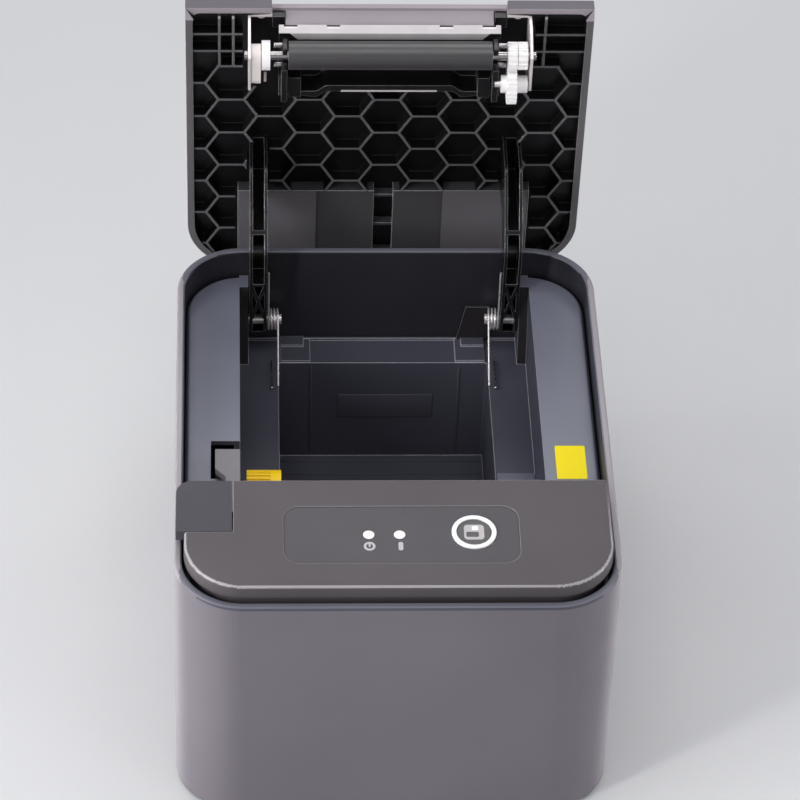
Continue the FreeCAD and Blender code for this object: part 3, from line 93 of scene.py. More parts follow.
# %% [markdown]
# The stage is one wide pale floor, large enough to fill the view. It could be a single plain colour,
# but a slow drift between two close tones keeps it from looking like cut paper. It is dull, so that
# the printer throws a soft shadow on it and no mirror image.

# %% Floor
FLOOR_HALF, FLOOR_CLOUD = 4, 6
FLOOR_DARK, FLOOR_LIGHT = tint(208, 208, 210), tint(216, 216, 217)
FLOOR_ROUGH, FLOOR_GLOSS = 0.9, 0.1
floor_shape = bmesh.new()
bmesh.ops.create_grid(floor_shape, x_segments=2, y_segments=2, size=FLOOR_HALF)
floor_mesh = bpy.data.meshes.new("pale_floor")
floor_shape.to_mesh(floor_mesh)
floor_shape.free()
floor = bpy.data.objects.new("pale_floor", floor_mesh)
scene.collection.objects.link(floor)

pale_floor = bpy.data.materials.new("pale_floor")
pale_floor.use_nodes = True
floor_nodes, floor_links = pale_floor.node_tree.nodes, pale_floor.node_tree.links
floor_place = floor_nodes.new("ShaderNodeTexCoord")
floor_cloud = floor_nodes.new("ShaderNodeTexNoise")
floor_cloud.inputs["Scale"].default_value = FLOOR_CLOUD
floor_tone = floor_nodes.new("ShaderNodeMix")
floor_tone.data_type = "RGBA"
floor_tone.inputs["A"].default_value = FLOOR_DARK
floor_tone.inputs["B"].default_value = FLOOR_LIGHT
floor_shader = floor_nodes["Principled BSDF"]
floor_shader.inputs["Roughness"].default_value = FLOOR_ROUGH
floor_shader.inputs["Specular IOR Level"].default_value = FLOOR_GLOSS
floor_links.new(floor_place.outputs["Object"], floor_cloud.inputs["Vector"])
floor_links.new(floor_cloud.outputs["Fac"], floor_tone.inputs["Factor"])
floor_links.new(floor_tone.outputs["Result"], floor_shader.inputs["Base Color"])
floor_mesh.materials.append(pale_floor)
print("floor", round(floor.dimensions.x, 1), "m wide")

# %% [markdown]
# Softboxes do the lighting, and where they stand matters more than how strong they are. One behind
# and above gives the level faces their sheen, one overhead and one in front fill in the top and the
# front wall, and one on each side looks into the lid. Two strips and two low beams light the round
# corners of the case. Those on the left, and both beams, fan out less than a bare lamp would, as a
# softbox with a grid does, so that they reach the printer without flooding the floor beside it.

# %% Lights
MIDDLE, WALL, LOW, FOOT = (0, 0, 0.1), (0, -0.05, 0.1), (0, 0, 0.08), (0, 0, 0.06)
OPEN_FAN = 180
SKY_COLOUR, SKY_LEVEL = (0.9, 0.93, 1.0, 1.0), 0.3


def softbox(name, place, target, size, watts, fan=OPEN_FAN):
    """A rectangular lamp at a place, facing a target and fanning out over an angle in degrees."""
    lamp = bpy.data.lights.new(name, "AREA")
    lamp.shape = "RECTANGLE"
    lamp.size, lamp.size_y = size
    lamp.energy = watts
    lamp.spread = math.radians(fan)
    box = bpy.data.objects.new(name, lamp)
    scene.collection.objects.link(box)
    aim = Vector(target) - Vector(place)
    box.matrix_world = Matrix.Translation(place) @ aim.to_track_quat("-Z", "Y").to_matrix().to_4x4()


softbox("back_box", (0.0, 0.80, 1.25), MIDDLE, (1.3, 0.6), 7.5)
softbox("top_box", (0.0, -0.3, 1.4), MIDDLE, (0.8, 0.6), 4.2)
softbox("front_box", (-0.2, -1.5, 0.7), FOOT, (1.0, 0.4), 1.1)
softbox("left_box", (-1.8, -0.45, 1.0), MIDDLE, (0.9, 0.8), 4.2, fan=110)
softbox("right_box", (1.0, -0.1, 0.45), MIDDLE, (0.5, 0.6), 1.7)
softbox("left_strip", (-0.6, -0.5, 0.45), LOW, (0.1, 0.5), 0.7, fan=80)
softbox("right_strip", (0.8, -0.7, 0.5), LOW, (0.14, 0.5), 0.8)
softbox("left_beam", (-1.8, -0.25, 0.15), WALL, (0.5, 0.14), 0.42, fan=20)
softbox("right_beam", (1.8, -0.25, 0.15), WALL, (0.5, 0.14), 0.24, fan=20)
world = bpy.data.worlds.new("studio")
scene.world = world
world.use_nodes = True
sky = world.node_tree.nodes["Background"]
sky.inputs["Color"].default_value = SKY_COLOUR
sky.inputs["Strength"].default_value = SKY_LEVEL
scene.view_settings.view_transform = "Standard"

# %% [markdown]
# Two effects come back in almost every finish, so each is a node group made once. The first rounds
# edges: real mouldings have no knife edges, and a thin bright line along each edge is what makes
# black plastic readable. The Bevel node bends the normals near an edge and leaves the mesh alone,
# and comparing that normal with the true one gives a mask along the same edges, where a paler
# tone stands for wear and for a painted highlight.

# %% Shared effect: soft edges


def new_group(name, inputs, outputs):
    """An empty shader group with float inputs (name, value) and outputs (name, kind)."""
    group = bpy.data.node_groups.new(name, "ShaderNodeTree")
    for label, number in inputs:
        socket = group.interface.new_socket(label, in_out="INPUT", socket_type="NodeSocketFloat")
        socket.default_value = number
    for label, kind in outputs:
        group.interface.new_socket(label, in_out="OUTPUT", socket_type=kind)
    return group, group.nodes.new("NodeGroupInput"), group.nodes.new("NodeGroupOutput")


EDGE_RADIUS, EDGE_SAMPLES = 0.0004, 6
EDGE_FLAT, EDGE_ROUND = 0.97, 0.75
soft_edge, edge_in, edge_out = new_group(
    "soft_edge", [("Radius", EDGE_RADIUS)], [("Normal", "NodeSocketVector"), ("Edge", "NodeSocketFloat")])
round_off = soft_edge.nodes.new("ShaderNodeBevel")
round_off.samples = EDGE_SAMPLES
surface = soft_edge.nodes.new("ShaderNodeNewGeometry")
agree = soft_edge.nodes.new("ShaderNodeVectorMath")
agree.operation = "DOT_PRODUCT"
edge_mask = soft_edge.nodes.new("ShaderNodeMapRange")
edge_mask.inputs["From Min"].default_value = EDGE_FLAT
edge_mask.inputs["From Max"].default_value = EDGE_ROUND
soft_edge.links.new(edge_in.outputs["Radius"], round_off.inputs["Radius"])
soft_edge.links.new(round_off.outputs["Normal"], agree.inputs[0])
soft_edge.links.new(surface.outputs["True Normal"], agree.inputs[1])
soft_edge.links.new(agree.outputs["Value"], edge_mask.inputs["Value"])
soft_edge.links.new(round_off.outputs["Normal"], edge_out.inputs["Normal"])
soft_edge.links.new(edge_mask.outputs["Result"], edge_out.inputs["Edge"])
print("group", soft_edge.name, "has", len(soft_edge.nodes), "nodes")

# %% [markdown]
# The second effect is the skin of a moulding. A fine noise stands for the spark-eroded texture of
# the mould, a large soft one for the slight unevenness of colour, and a middle one for the places
# where hands have polished the plastic or left it dull. A picture of real grain would need every
# piece to be unwrapped, and noise needs none.

# %% Shared effect: moulded skin
GRAIN, CLOUD, POLISH = 2500.0, 18.0, 70
moulded_skin, skin_in, skin_out = new_group(
    "moulded_skin", [("Grain", GRAIN), ("Cloud", CLOUD)],
    [("Height", "NodeSocketFloat"), ("Tone", "NodeSocketFloat"), ("Polish", "NodeSocketFloat")])
skin_place = moulded_skin.nodes.new("ShaderNodeTexCoord")
for label, detail, socket in (("Height", 2, "Grain"), ("Tone", 3, "Cloud"), ("Polish", 5, None)):
    noise = moulded_skin.nodes.new("ShaderNodeTexNoise")
    noise.inputs["Detail"].default_value = detail
    noise.inputs["Scale"].default_value = POLISH
    if socket:
        moulded_skin.links.new(skin_in.outputs[socket], noise.inputs["Scale"])
    moulded_skin.links.new(skin_place.outputs["Object"], noise.inputs["Vector"])
    moulded_skin.links.new(noise.outputs["Fac"], skin_out.inputs[label])
print("group", moulded_skin.name, "has", len(moulded_skin.nodes), "nodes")

# %% [markdown]
# With those groups a moulded plastic needs only its own values: two close tones, how glossy it is,
# how deep its grain is and how round its edges are. The case also turns paler where it is seen at a
# low angle, a painted highlight for the bright room it reflects there. Values go straight onto the
# shader's own sockets, and only what changes over the surface comes through links.

# %% Finish: moulded plastic
NOISE_LOW, NOISE_HIGH = 0.3, 0.7
GRAZING_HIGHLIGHT_START, GRAZING_HIGHLIGHT_FULL = 0.56, 0.95
GRAIN_STRENGTH, GRAIN_DEPTH = 0.6, 0.00002
PLASTIC_GLOSS = 0.5


def start_finish(name):
    """A new material with its node tree's nodes, links and shader."""
    made = bpy.data.materials.new(name)
    made.use_nodes = True
    tree = made.node_tree
    return made, tree.nodes, tree.links, tree.nodes["Principled BSDF"]


def add_group(nodes, group, **values):
    """Places a shared group in a material with its own values."""
    placed = nodes.new("ShaderNodeGroup")
    placed.node_tree = group
    for label, number in values.items():
        placed.inputs[label].default_value = number
    return placed


def blend_colours(nodes, links, factor, first, second):
    """Mixes two colours, each a plain colour or another node's output."""
    mix = nodes.new("ShaderNodeMix")
    mix.data_type = "RGBA"
    for label, colour in (("A", first), ("B", second)):
        if isinstance(colour, tuple):
            mix.inputs[label].default_value = colour
        else:
            links.new(colour, mix.inputs[label])
    links.new(factor, mix.inputs["Factor"])
    return mix.outputs["Result"]


def spread(nodes, links, value, low, high):
    """Stretches a noise value over a range."""
    reach = nodes.new("ShaderNodeMapRange")
    reach.inputs["From Min"].default_value = NOISE_LOW
    reach.inputs["From Max"].default_value = NOISE_HIGH
    reach.inputs["To Min"].default_value = low
    reach.inputs["To Max"].default_value = high
    links.new(value, reach.inputs["Value"])
    return reach.outputs["Result"]


def moulded(name, dark, light, edge_wear_and_highlight, rough, grain=GRAIN, depth=GRAIN_DEPTH, edge=EDGE_RADIUS,
            gloss=PLASTIC_GLOSS, grazing_highlight=None):
    """A moulded plastic; the case also has a painted highlight, a paler tone where seen at a low angle."""
    made, nodes, links, shader = start_finish(name)
    skin = add_group(nodes, moulded_skin, Grain=grain)
    soft = add_group(nodes, soft_edge, Radius=edge)
    tone = blend_colours(nodes, links, spread(nodes, links, skin.outputs["Tone"], 0, 1), dark, light)
    # Along the edges the edge tone is mixed in; on most finishes it is paler, for wear and a painted
    # highlight.
    tone = blend_colours(nodes, links, soft.outputs["Edge"], tone, edge_wear_and_highlight)
    # A paler tone where the surface is seen at a low angle: a painted highlight.
    if grazing_highlight:
        slant = nodes.new("ShaderNodeLayerWeight")
        reach = nodes.new("ShaderNodeMapRange")
        reach.interpolation_type = "SMOOTHSTEP"
        reach.inputs["From Min"].default_value = GRAZING_HIGHLIGHT_START
        reach.inputs["From Max"].default_value = GRAZING_HIGHLIGHT_FULL
        links.new(slant.outputs["Facing"], reach.inputs["Value"])
        tone = blend_colours(nodes, links, reach.outputs["Result"], tone, grazing_highlight)
    links.new(tone, shader.inputs["Base Color"])
    links.new(spread(nodes, links, skin.outputs["Polish"], *rough), shader.inputs["Roughness"])
    bump = nodes.new("ShaderNodeBump")
    bump.inputs["Strength"].default_value = GRAIN_STRENGTH
    bump.inputs["Distance"].default_value = depth
    links.new(skin.outputs["Height"], bump.inputs["Height"])
    links.new(soft.outputs["Normal"], bump.inputs["Normal"])
    links.new(bump.outputs["Normal"], shader.inputs["Normal"])
    shader.inputs["Specular IOR Level"].default_value = gloss
    return made


# Each row has a dark and a light tone, the edge tone (wear and painted highlight), the roughness, and what
# else differs.
plastics = {
    # The case's paler tone at a low angle is a painted highlight.
    "case_grey": ((107, 102, 109), (112, 107, 114), (130, 125, 131), (0.6, 0.7),
                  dict(gloss=0.3, grazing_highlight=tint(150, 145, 150))),
    "case_inner": ((34, 34, 40), (39, 39, 46), (70, 70, 80), (0.35, 0.45), {}),
    "rim_slate": ((100, 100, 111), (106, 106, 117), (176, 172, 178), (0.4, 0.5), {}),
    # The rim at the sides is painted paler as a highlight, and the line under the rim darker as shade.
    "rim_side_painted_highlight": ((150, 143, 149), (156, 149, 155), (176, 170, 175), (0.4, 0.5), {}),
    "rim_line_painted_shade": ((66, 67, 79), (71, 72, 84), (110, 110, 122), (0.45, 0.55), {}),
    "cover_grey": ((84, 79, 83), (89, 84, 88), (196, 190, 192), (0.55, 0.65), dict(edge=0.0005, gloss=0.3)),
    # A painted highlight on the cover's front edge, and painted shade on the band below it.
    "cover_painted_highlight": ((150, 145, 147), (158, 153, 155), (166, 161, 163), (0.3, 0.4), {}),
    "cover_painted_shade": ((70, 65, 68), (76, 71, 74), (84, 79, 82), (0.5, 0.6), {}),
    "button_grey": ((72, 71, 77), (77, 76, 82), (104, 102, 108), (0.6, 0.7), dict(gloss=0.3)),
    "lever_grey": ((112, 109, 113), (118, 115, 119), (134, 131, 135), (0.4, 0.5), {}),
    "tray_slate": ((70, 70, 82), (76, 76, 88), (200, 198, 210), (0.34, 0.44), dict(edge=0.0006, gloss=0.7)),
    "bay_slate": ((74, 73, 84), (80, 79, 90), (84, 83, 94), (0.34, 0.44), dict(edge=0.0001, gloss=0.7)),
    # The ledges are painted paler, a painted sheen.
    "ledge_painted_sheen": ((110, 112, 127), (116, 118, 133), (160, 160, 172), (0.34, 0.44), dict(gloss=0.7)),
    # The cheek fronts are painted darker, a painted shade.
    "cheek_painted_shade": ((34, 31, 34), (39, 36, 39), (130, 128, 134), (0.35, 0.45), {}),
    "lid_black": ((8, 7, 9), (11, 10, 12), (40, 39, 41), (0.3, 0.4), {}),
    # The tear lip is painted paler, a painted highlight.
    "lip_painted_highlight": ((152, 143, 149), (158, 149, 155), (170, 162, 167), (0.4, 0.5), {}),
    "lid_rim": ((84, 82, 84), (90, 88, 90), (176, 170, 173), (0.45, 0.55), dict(edge=0.0005)),
    # The rib tops are painted paler, a painted highlight.
    "lid_rib_painted_highlight": ((84, 82, 84), (90, 88, 90), (100, 98, 100), (0.45, 0.55), {}),
    "panel_dark": ((57, 55, 58), (62, 60, 63), (200, 196, 198), (0.65, 0.75),
                   dict(grain=1200, depth=0.00006, edge=0.0005, gloss=0.25)),
    "panel_pale": ((85, 82, 86), (92, 89, 93), (112, 110, 112), (0.7, 0.8),
                   dict(grain=900, depth=0.00012, edge=0.0002, gloss=0.2)),
    "arm_black": ((11, 11, 12), (14, 14, 15), (120, 116, 119), (0.22, 0.3), dict(edge=0.0005)),
    "frame_black": ((13, 12, 14), (17, 16, 18), (150, 146, 149), (0.3, 0.4), {}),
    "base_black": ((40, 39, 41), (46, 45, 47), (60, 59, 61), (0.5, 0.65), {}),
    "window_smoke": ((78, 74, 79), (83, 79, 84), (58, 55, 58), (0.45, 0.55),
                     dict(depth=0.000004, gloss=0.3)),
    "key_dark": ((48, 46, 48), (56, 54, 56), (90, 88, 90), (0.25, 0.35), {}),
    "mark_pale": ((178, 173, 176), (188, 183, 186), (196, 192, 194), (0.4, 0.5),
                  dict(grain=1500, depth=0.000004, edge=0.0001)),
    "gear_white": ((244, 241, 241), (248, 246, 246), (252, 251, 251), (0.35, 0.45),
                   dict(grain=1500, depth=0.00001, edge=0.0002)),
    "bearing_cream": ((228, 219, 216), (234, 225, 222), (240, 234, 232), (0.45, 0.55),
                      dict(grain=1500, depth=0.00002, edge=0.0002)),
    "lens_white": ((234, 232, 232), (240, 238, 238), (246, 245, 244), (0.2, 0.3),
                   dict(grain=1500, depth=0.000005, edge=0.0003)),
    "wheel_yellow": ((253, 206, 12), (255, 212, 18), (255, 224, 70), (0.4, 0.5),
                     dict(grain=1500, depth=0.00001, edge=0.0003, gloss=0.3)),
    "patch_yellow": ((252, 228, 20), (255, 234, 26), (255, 238, 60), (0.5, 0.6),
                     dict(grain=800, depth=0.000004, edge=0.0001, gloss=0.2)),
    "board_green": ((22, 74, 44), (28, 84, 50), (150, 140, 90), (0.3, 0.45),
                    dict(grain=900, depth=0.00001, edge=0.0002)),
    "head_ceramic": ((150, 142, 128), (160, 152, 138), (180, 172, 158), (0.15, 0.25),
                     dict(grain=900, depth=0.000005, edge=0.0002)),
    "rubber_black": ((34, 33, 35), (40, 39, 41), (52, 51, 53), (0.7, 0.85),
                     dict(grain=1200, depth=0.00005, edge=0.0005, gloss=0.3)),
    "roller_rubber": ((48, 45, 47), (53, 50, 52), (70, 66, 69), (0.38, 0.46),
                      dict(grain=1600, depth=0.00002, edge=0.0005, gloss=0.9)),
}
finishes = {}
for name, (dark, light, edge_wear_and_highlight, rough, extra) in plastics.items():
    finishes[name] = moulded(name, tint(*dark), tint(*light), tint(*edge_wear_and_highlight), rough, **extra)
print(len(finishes), "moulded finishes")

# %% [markdown]
# The metal parts are stamped, drawn or turned, and most of them are steel. Such metal has fine lines
# in one direction, which a noise makes when it is stretched along that direction before it is read.

# %% Finish: metals
LINES, LINE_STRETCH, LINE_DETAIL, PATCHES = 900.0, (0.04, 1.0, 1.0), 4, 120
LINE_STRENGTH, LINE_DEPTH, METAL_EDGE = 0.5, 0.000008, 0.0002
drawn_metal, drawn_in, drawn_out = new_group(
    "drawn_metal", [("Lines", LINES)], [("Height", "NodeSocketFloat"), ("Tone", "NodeSocketFloat")])
drawn_place = drawn_metal.nodes.new("ShaderNodeTexCoord")
stretch = drawn_metal.nodes.new("ShaderNodeMapping")
stretch.inputs["Scale"].default_value = LINE_STRETCH
lines = drawn_metal.nodes.new("ShaderNodeTexNoise")
lines.inputs["Detail"].default_value = LINE_DETAIL
patches = drawn_metal.nodes.new("ShaderNodeTexNoise")
patches.inputs["Scale"].default_value = PATCHES
drawn_metal.links.new(drawn_place.outputs["Object"], stretch.inputs["Vector"])
drawn_metal.links.new(stretch.outputs["Vector"], lines.inputs["Vector"])
drawn_metal.links.new(drawn_in.outputs["Lines"], lines.inputs["Scale"])
drawn_metal.links.new(drawn_place.outputs["Object"], patches.inputs["Vector"])
drawn_metal.links.new(lines.outputs["Fac"], drawn_out.inputs["Height"])
drawn_metal.links.new(patches.outputs["Fac"], drawn_out.inputs["Tone"])


def metal(name, dark, light, rough, drawn=LINES, purity=1.0):
    """A drawn or stamped metal with fine lines; a dull plating has a lower purity."""
    made, nodes, links, shader = start_finish(name)
    skin = add_group(nodes, drawn_metal, Lines=drawn)
    soft = add_group(nodes, soft_edge, Radius=METAL_EDGE)
    tone = blend_colours(nodes, links, spread(nodes, links, skin.outputs["Tone"], 0, 1), dark, light)
    links.new(tone, shader.inputs["Base Color"])
    links.new(spread(nodes, links, skin.outputs["Height"], *rough), shader.inputs["Roughness"])
    bump = nodes.new("ShaderNodeBump")
    bump.inputs["Strength"].default_value = LINE_STRENGTH
    bump.inputs["Distance"].default_value = LINE_DEPTH
    links.new(skin.outputs["Height"], bump.inputs["Height"])
    links.new(soft.outputs["Normal"], bump.inputs["Normal"])
    links.new(bump.outputs["Normal"], shader.inputs["Normal"])
    shader.inputs["Metallic"].default_value = purity
    return made


# Each row has a dark and a light tone, the roughness, and what else differs.
metals = {
    "blade_steel": ((214, 208, 210), (224, 218, 220), (0.4, 0.5), dict(purity=0.35)),
    "plated_steel": ((230, 223, 223), (240, 234, 234), (0.35, 0.45), dict(purity=0.45)),
    "wire_steel": ((222, 216, 217), (232, 227, 228), (0.25, 0.35), dict(drawn=400, purity=0.6)),
    "shell_nickel": ((178, 176, 176), (192, 190, 190), (0.3, 0.4), {}),
    "shaft_steel": ((168, 163, 165), (182, 177, 179), (0.2, 0.3), dict(drawn=400)),
    "sink_aluminium": ((178, 178, 182), (192, 192, 196), (0.35, 0.5), {}),
    "pinion_brass": ((190, 156, 92), (204, 170, 104), (0.25, 0.35), {}),
    "contact_gold": ((212, 170, 84), (224, 184, 98), (0.2, 0.3), {}),
    "motor_steel": ((120, 120, 124), (134, 134, 138), (0.35, 0.45), {}),
}
for name, (dark, light, rough, extra) in metals.items():
    finishes[name] = metal(name, tint(*dark), tint(*light), rough, **extra)
print(len(finishes), "finishes with the metals")

# %% [markdown]
# Each solid of the frame takes one of these finishes. A copy with a new material would do as well, but
# a solid whose shape is right can stay as it is: only its material slot changes, and not its mesh.

# %% Dress the frame
dressed = {
    "case_grey": ["case"],
    "cover_grey": ["front_cover"],
    "button_grey": ["release_button"],
    "lever_grey": ["release_lever"],
    "tray_slate": ["tray"],
    "lid_black": ["lid"],
    "panel_dark": ["lid_inner_panel"],
    "arm_black": ["right_hinge_arm", "left_hinge_arm", "cutter_gearbox", "rocker_bezel", "power_rocker",
                  "dc_inlet", "drawer_socket"],
    "frame_black": ["platen_frame"],
    "base_black": ["base_plate"],
    "window_smoke": ["panel_window"],
    "key_dark": ["feed_button"],
    "gear_white": ["platen_gear", "platen_drive_gear", "platen_collar", "compound_gear", "drive_gear"],
    "bearing_cream": ["platen_bearing"],
    "lens_white": ["status_lights", "feed_button_ring"],
    "wheel_yellow": ["cutter_wheel"],
    "board_green": ["main_board"],
    "head_ceramic": ["thermal_head"],
    "rubber_black": ["rubber_feet"],
    "roller_rubber": ["platen_rubber"],
    "blade_steel": ["fixed_blade", "cutter_blade", "guide_strip"],
    "plated_steel": ["right_bracket", "left_bracket", "bracket_screws", "base_screws", "print_chassis",
                     "cutter_housing", "board_posts"],
    "shell_nickel": ["usb_socket", "network_socket"],
    "wire_steel": ["right_hinge_pin", "left_hinge_pin", "right_hinge_spring", "left_hinge_spring",
                   "compound_pin", "drive_axle"],
    "shaft_steel": ["platen_shaft"],
    "sink_aluminium": ["heat_sink"],
    "pinion_brass": ["motor_pinion"],
    "motor_steel": ["feed_motor"],
}
for finish_name, node_names in dressed.items():
    for node_name in node_names:
        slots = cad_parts[node_name].data.materials
        slots.clear()
        slots.append(finishes[finish_name])
bare = set(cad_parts) - {n for names in dressed.values() for n in names}
print("nodes without a finish:", sorted(bare))

# %% [markdown]
# New pieces are built as a bmesh, and one helper turns each into an object: it closes the seams,
# shades round faces smoothly and keeps the sharp edges, gives the object its finishes, and ties it
# to a body so that it moves with it. A piece may carry several finishes, and then a small function
# says which one each face takes.

# %% Helper for pieces
SHARP, SEAM = math.radians(30), 1e-6


def keep_piece(name, shape, finish_names, body, choose=None):
    """Turns a bmesh into an object that rides on a body and has one finish or more."""
    bmesh.ops.remove_doubles(shape, verts=shape.verts, dist=SEAM)
    bmesh.ops.recalc_face_normals(shape, faces=shape.faces)
    for face in shape.faces:
        face.smooth = True
    for edge in shape.edges:
        edge.smooth = edge.calc_face_angle(math.pi) < SHARP
    if choose:
        for face in shape.faces:
            face.material_index = choose(face)
    mesh = bpy.data.meshes.new(name)
    shape.to_mesh(mesh)
    shape.free()
    for finish_name in finish_names:
        mesh.materials.append(finishes[finish_name])
    piece = bpy.data.objects.new(name, mesh)
    scene.collection.objects.link(piece)
    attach(piece, body)
    print("made", name, "with", len(mesh.polygons), "faces")
    return piece


def node_copy(node_name):
    """The mesh of a solid as a bmesh, with its loose triangles joined."""
    shape = bmesh.new()
    shape.from_mesh(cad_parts[node_name].data)
    bmesh.ops.remove_doubles(shape, verts=shape.verts, dist=SEAM)
    return shape


print("an edge stays sharp from", round(math.degrees(SHARP)), "degrees")

# %% [markdown]
# The lid is black plastic inside and painted outside, and only the paint shows along its edges.
# A second solid for the paint would be thinner than any real one, so the lid is copied and each
# face picks its finish from where it lies. To judge that, the face is turned back about the hinge
# pins to where it is with the lid shut: there the outside is whatever lies on the outline. The tops
# of the ribs, the tear lip and the foot of the front rim take paler tones that are painted
# highlights. The foot of the front rim is raised a little on the copy, because the edge that shows
# there is thin.

# %% Painted lid
HINGE = Vector((0, 0.090, 0.0775))
OPEN = math.radians(85)
LID_HALF, LID_FRONT, LID_REAR, LID_CORNER = 0.0764, -0.0424, 0.0925, 0.024
LID_LOW, RIB_LOW, SKIN_LOW = 0.1083, 0.1091, 0.1141
NOTCH_HALF, NOTCH_REAR = 0.0385, -0.0375
RIM_STEP, RIM_RAISE = -0.0382, 0.0022
RAMP_FORWARD, RAMP_DOWN, FOOT_DOWN, RIB_DOWN = -0.3, -0.2, -0.5, -0.9
NEAR, CUT = 0.0003, 1e-7


def shut(vector, about=HINGE):
    """Turns a point, or a direction about zero, from the open lid to the shut one."""
    return Matrix.Rotation(OPEN, 3, "X") @ (vector - about) + about


def swung_open(shape, angle=-OPEN):
    """Turns a shape drawn with the lid shut to where the open lid has it, or back again."""
    bmesh.ops.rotate(shape, cent=HINGE, matrix=Matrix.Rotation(angle, 3, "X"), verts=shape.verts)
    return shape


def inside_by(x, y, half, front, rear, front_corner, rear_corner):
    """How far a point lies inside an outline with round corners, seen from above."""
    gap = min(half - abs(x), y - front, rear - y)
    for corner, past in ((front_corner, front + front_corner - y), (rear_corner, y - rear + rear_corner)):
        across = abs(x) - half + corner
        if past > 0 and across > 0:
            gap = min(gap, corner - math.hypot(across, past))
    return gap


def lid_face(face):
    """Finish of one lid face: 0 inside, 1 painted outside, 2 ribs and 3 tear lip, both painted highlight, 4
    the rim.
    """
    place = shut(face.calc_center_median())
    way = shut(face.normal, Vector())
    gap = inside_by(place.x, place.y, LID_HALF, LID_FRONT, LID_REAR, 0, LID_CORNER)
    ramp = way.y < RAMP_FORWARD and way.z < RAMP_DOWN
    mouth = abs(place.x) < NOTCH_HALF and place.y < NOTCH_REAR
    rim_foot = place.y < RIM_STEP and way.z < FOOT_DOWN
    if ramp or mouth or rim_foot:
        return 3
    if place.z > SKIN_LOW + NEAR or gap < NEAR:
        return 1
    if way.z < RIB_DOWN and place.z < RIB_LOW + NEAR:
        return 4 if place.z < LID_LOW + NEAR else 2
    return 0


lid_shape = swung_open(node_copy("lid"), OPEN)
bmesh.ops.bisect_plane(lid_shape, geom=lid_shape.verts[:] + lid_shape.edges[:] + lid_shape.faces[:],
                       dist=CUT, plane_co=(0, RIM_STEP, 0), plane_no=(0, 1, 0))
for vert in lid_shape.verts:
    if vert.co.y < RIM_STEP - NEAR and vert.co.z < LID_LOW + NEAR:
        vert.co.z += RIM_RAISE
lid_finishes = ["lid_black", "case_grey", "lid_rib_painted_highlight", "lip_painted_highlight", "lid_rim"]
painted_lid = keep_piece("painted_lid", swung_open(lid_shape), lid_finishes, "lid_unit",
                         lid_face)
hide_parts("lid")

# %% [markdown]
# The case is handled in the same way. Its outside has the soft grey finish, and the wall inside is
# left in the darker bare plastic. The rim top is bare slate, painted paler along the sides as a
# highlight and darker in the line under it as shade, so the copy is cut once along that line, and no
# face lies on both sides of it.

# %% Painted case
CASE_HALF, CASE_DEEP, CASE_CORNER = 0.080, 0.0985, 0.025
CASE_RIM, RIM_LINE, RIM_SIDE = 0.107, 0.1056, 0.0778
PAINT_REACH = 0.0017


def case_face(face):
    """Finish of one case face: 0 outside, 1 bare inside, 2 rim, 3 painted shade under it, 4 painted highlight
    on the side rim.
    """
    place = face.calc_center_median()
    if place.z > RIM_LINE and abs(place.x) > RIM_SIDE:
        return 4
    if place.z > CASE_RIM - NEAR:
        return 2
    gap = inside_by(place.x, place.y, CASE_HALF, -CASE_DEEP, CASE_DEEP, CASE_CORNER, CASE_CORNER)
    if gap > PAINT_REACH:
        return 1
    return 3 if place.z > RIM_LINE and abs(face.normal.x) < abs(face.normal.y) else 0


case_shape = node_copy("case")
bmesh.ops.bisect_plane(case_shape, geom=case_shape.verts[:] + case_shape.edges[:] + case_shape.faces[:],
                       dist=CUT, plane_co=(0, 0, RIM_LINE), plane_no=(0, 0, 1))
case_finishes = ["case_grey", "case_inner", "rim_slate", "rim_line_painted_shade", "rim_side_painted_highlight"]
painted_case = keep_piece("painted_case", case_shape, case_finishes, "body", case_face)
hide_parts("case")

# %% [markdown]
# The front cover has a rounded front edge, painted with a fine pale line as a highlight, above a
# band that faces forwards and is painted darker as shade. A painted picture could show them, but the
# mesh already has a face for each, so on the copy the slope of a face tells the three apart.

# %% Cover with a painted highlight on its front edge
COVER_REAR, COVER_FOOT = -0.0600, 0.1080
PAINTED_HIGHLIGHT_FLAT, PAINTED_HIGHLIGHT_STEEP = 0.92, 0.55


def cover_face(face):
    """Finish of one cover face: 0 top, 1 painted highlight on the front edge, 2 painted shade on the band
    below.
    """
    place = face.calc_center_median()
    if place.y > COVER_REAR or place.z < COVER_FOOT:
        return 0
    if face.normal.z < PAINTED_HIGHLIGHT_STEEP:
        return 2
    return 1 if face.normal.z < PAINTED_HIGHLIGHT_FLAT else 0


cover_finishes = ["cover_grey", "cover_painted_highlight", "cover_painted_shade"]
finished_cover = keep_piece("finished_cover", node_copy("front_cover"), cover_finishes, "body",
                            cover_face)
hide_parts("front_cover")

# %% [markdown]
# The tray is one moulding too. Its ledges are painted paler than the shelves and the roll bay below,
# as a painted sheen, and the front ends of the hinge cheeks are painted dark as shade. Where a face
# lies, and which way it looks, tells which finish it takes.

# %% Tray with a painted sheen on its ledges
LEDGE, SHELF = 0.0955, 0.0625
LOOKS_UP, LOOKS_FORWARD = 0.9, -0.7
CHEEK_IN, CHEEK_OUT, CHEEK_FRONT = 0.0530, 0.0575, 0.0780


def tray_face(face):
    """Finish of one tray face: 0 shelves and bay, 1 ledges with a painted sheen, 2 cheek fronts in painted
    shade.
    """
    place = face.calc_center_median()
    if face.normal.z > LOOKS_UP and place.z > LEDGE - NEAR:
        return 1
    cheek = CHEEK_IN < abs(place.x) < CHEEK_OUT and SHELF < place.z and CHEEK_FRONT < place.y
    return 2 if cheek and face.normal.y < LOOKS_FORWARD else 0


finished_tray = keep_piece("finished_tray", node_copy("tray"), ["tray_slate", "ledge_painted_sheen", "cheek_painted_shade"],
                           "body", tray_face)
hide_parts("tray")

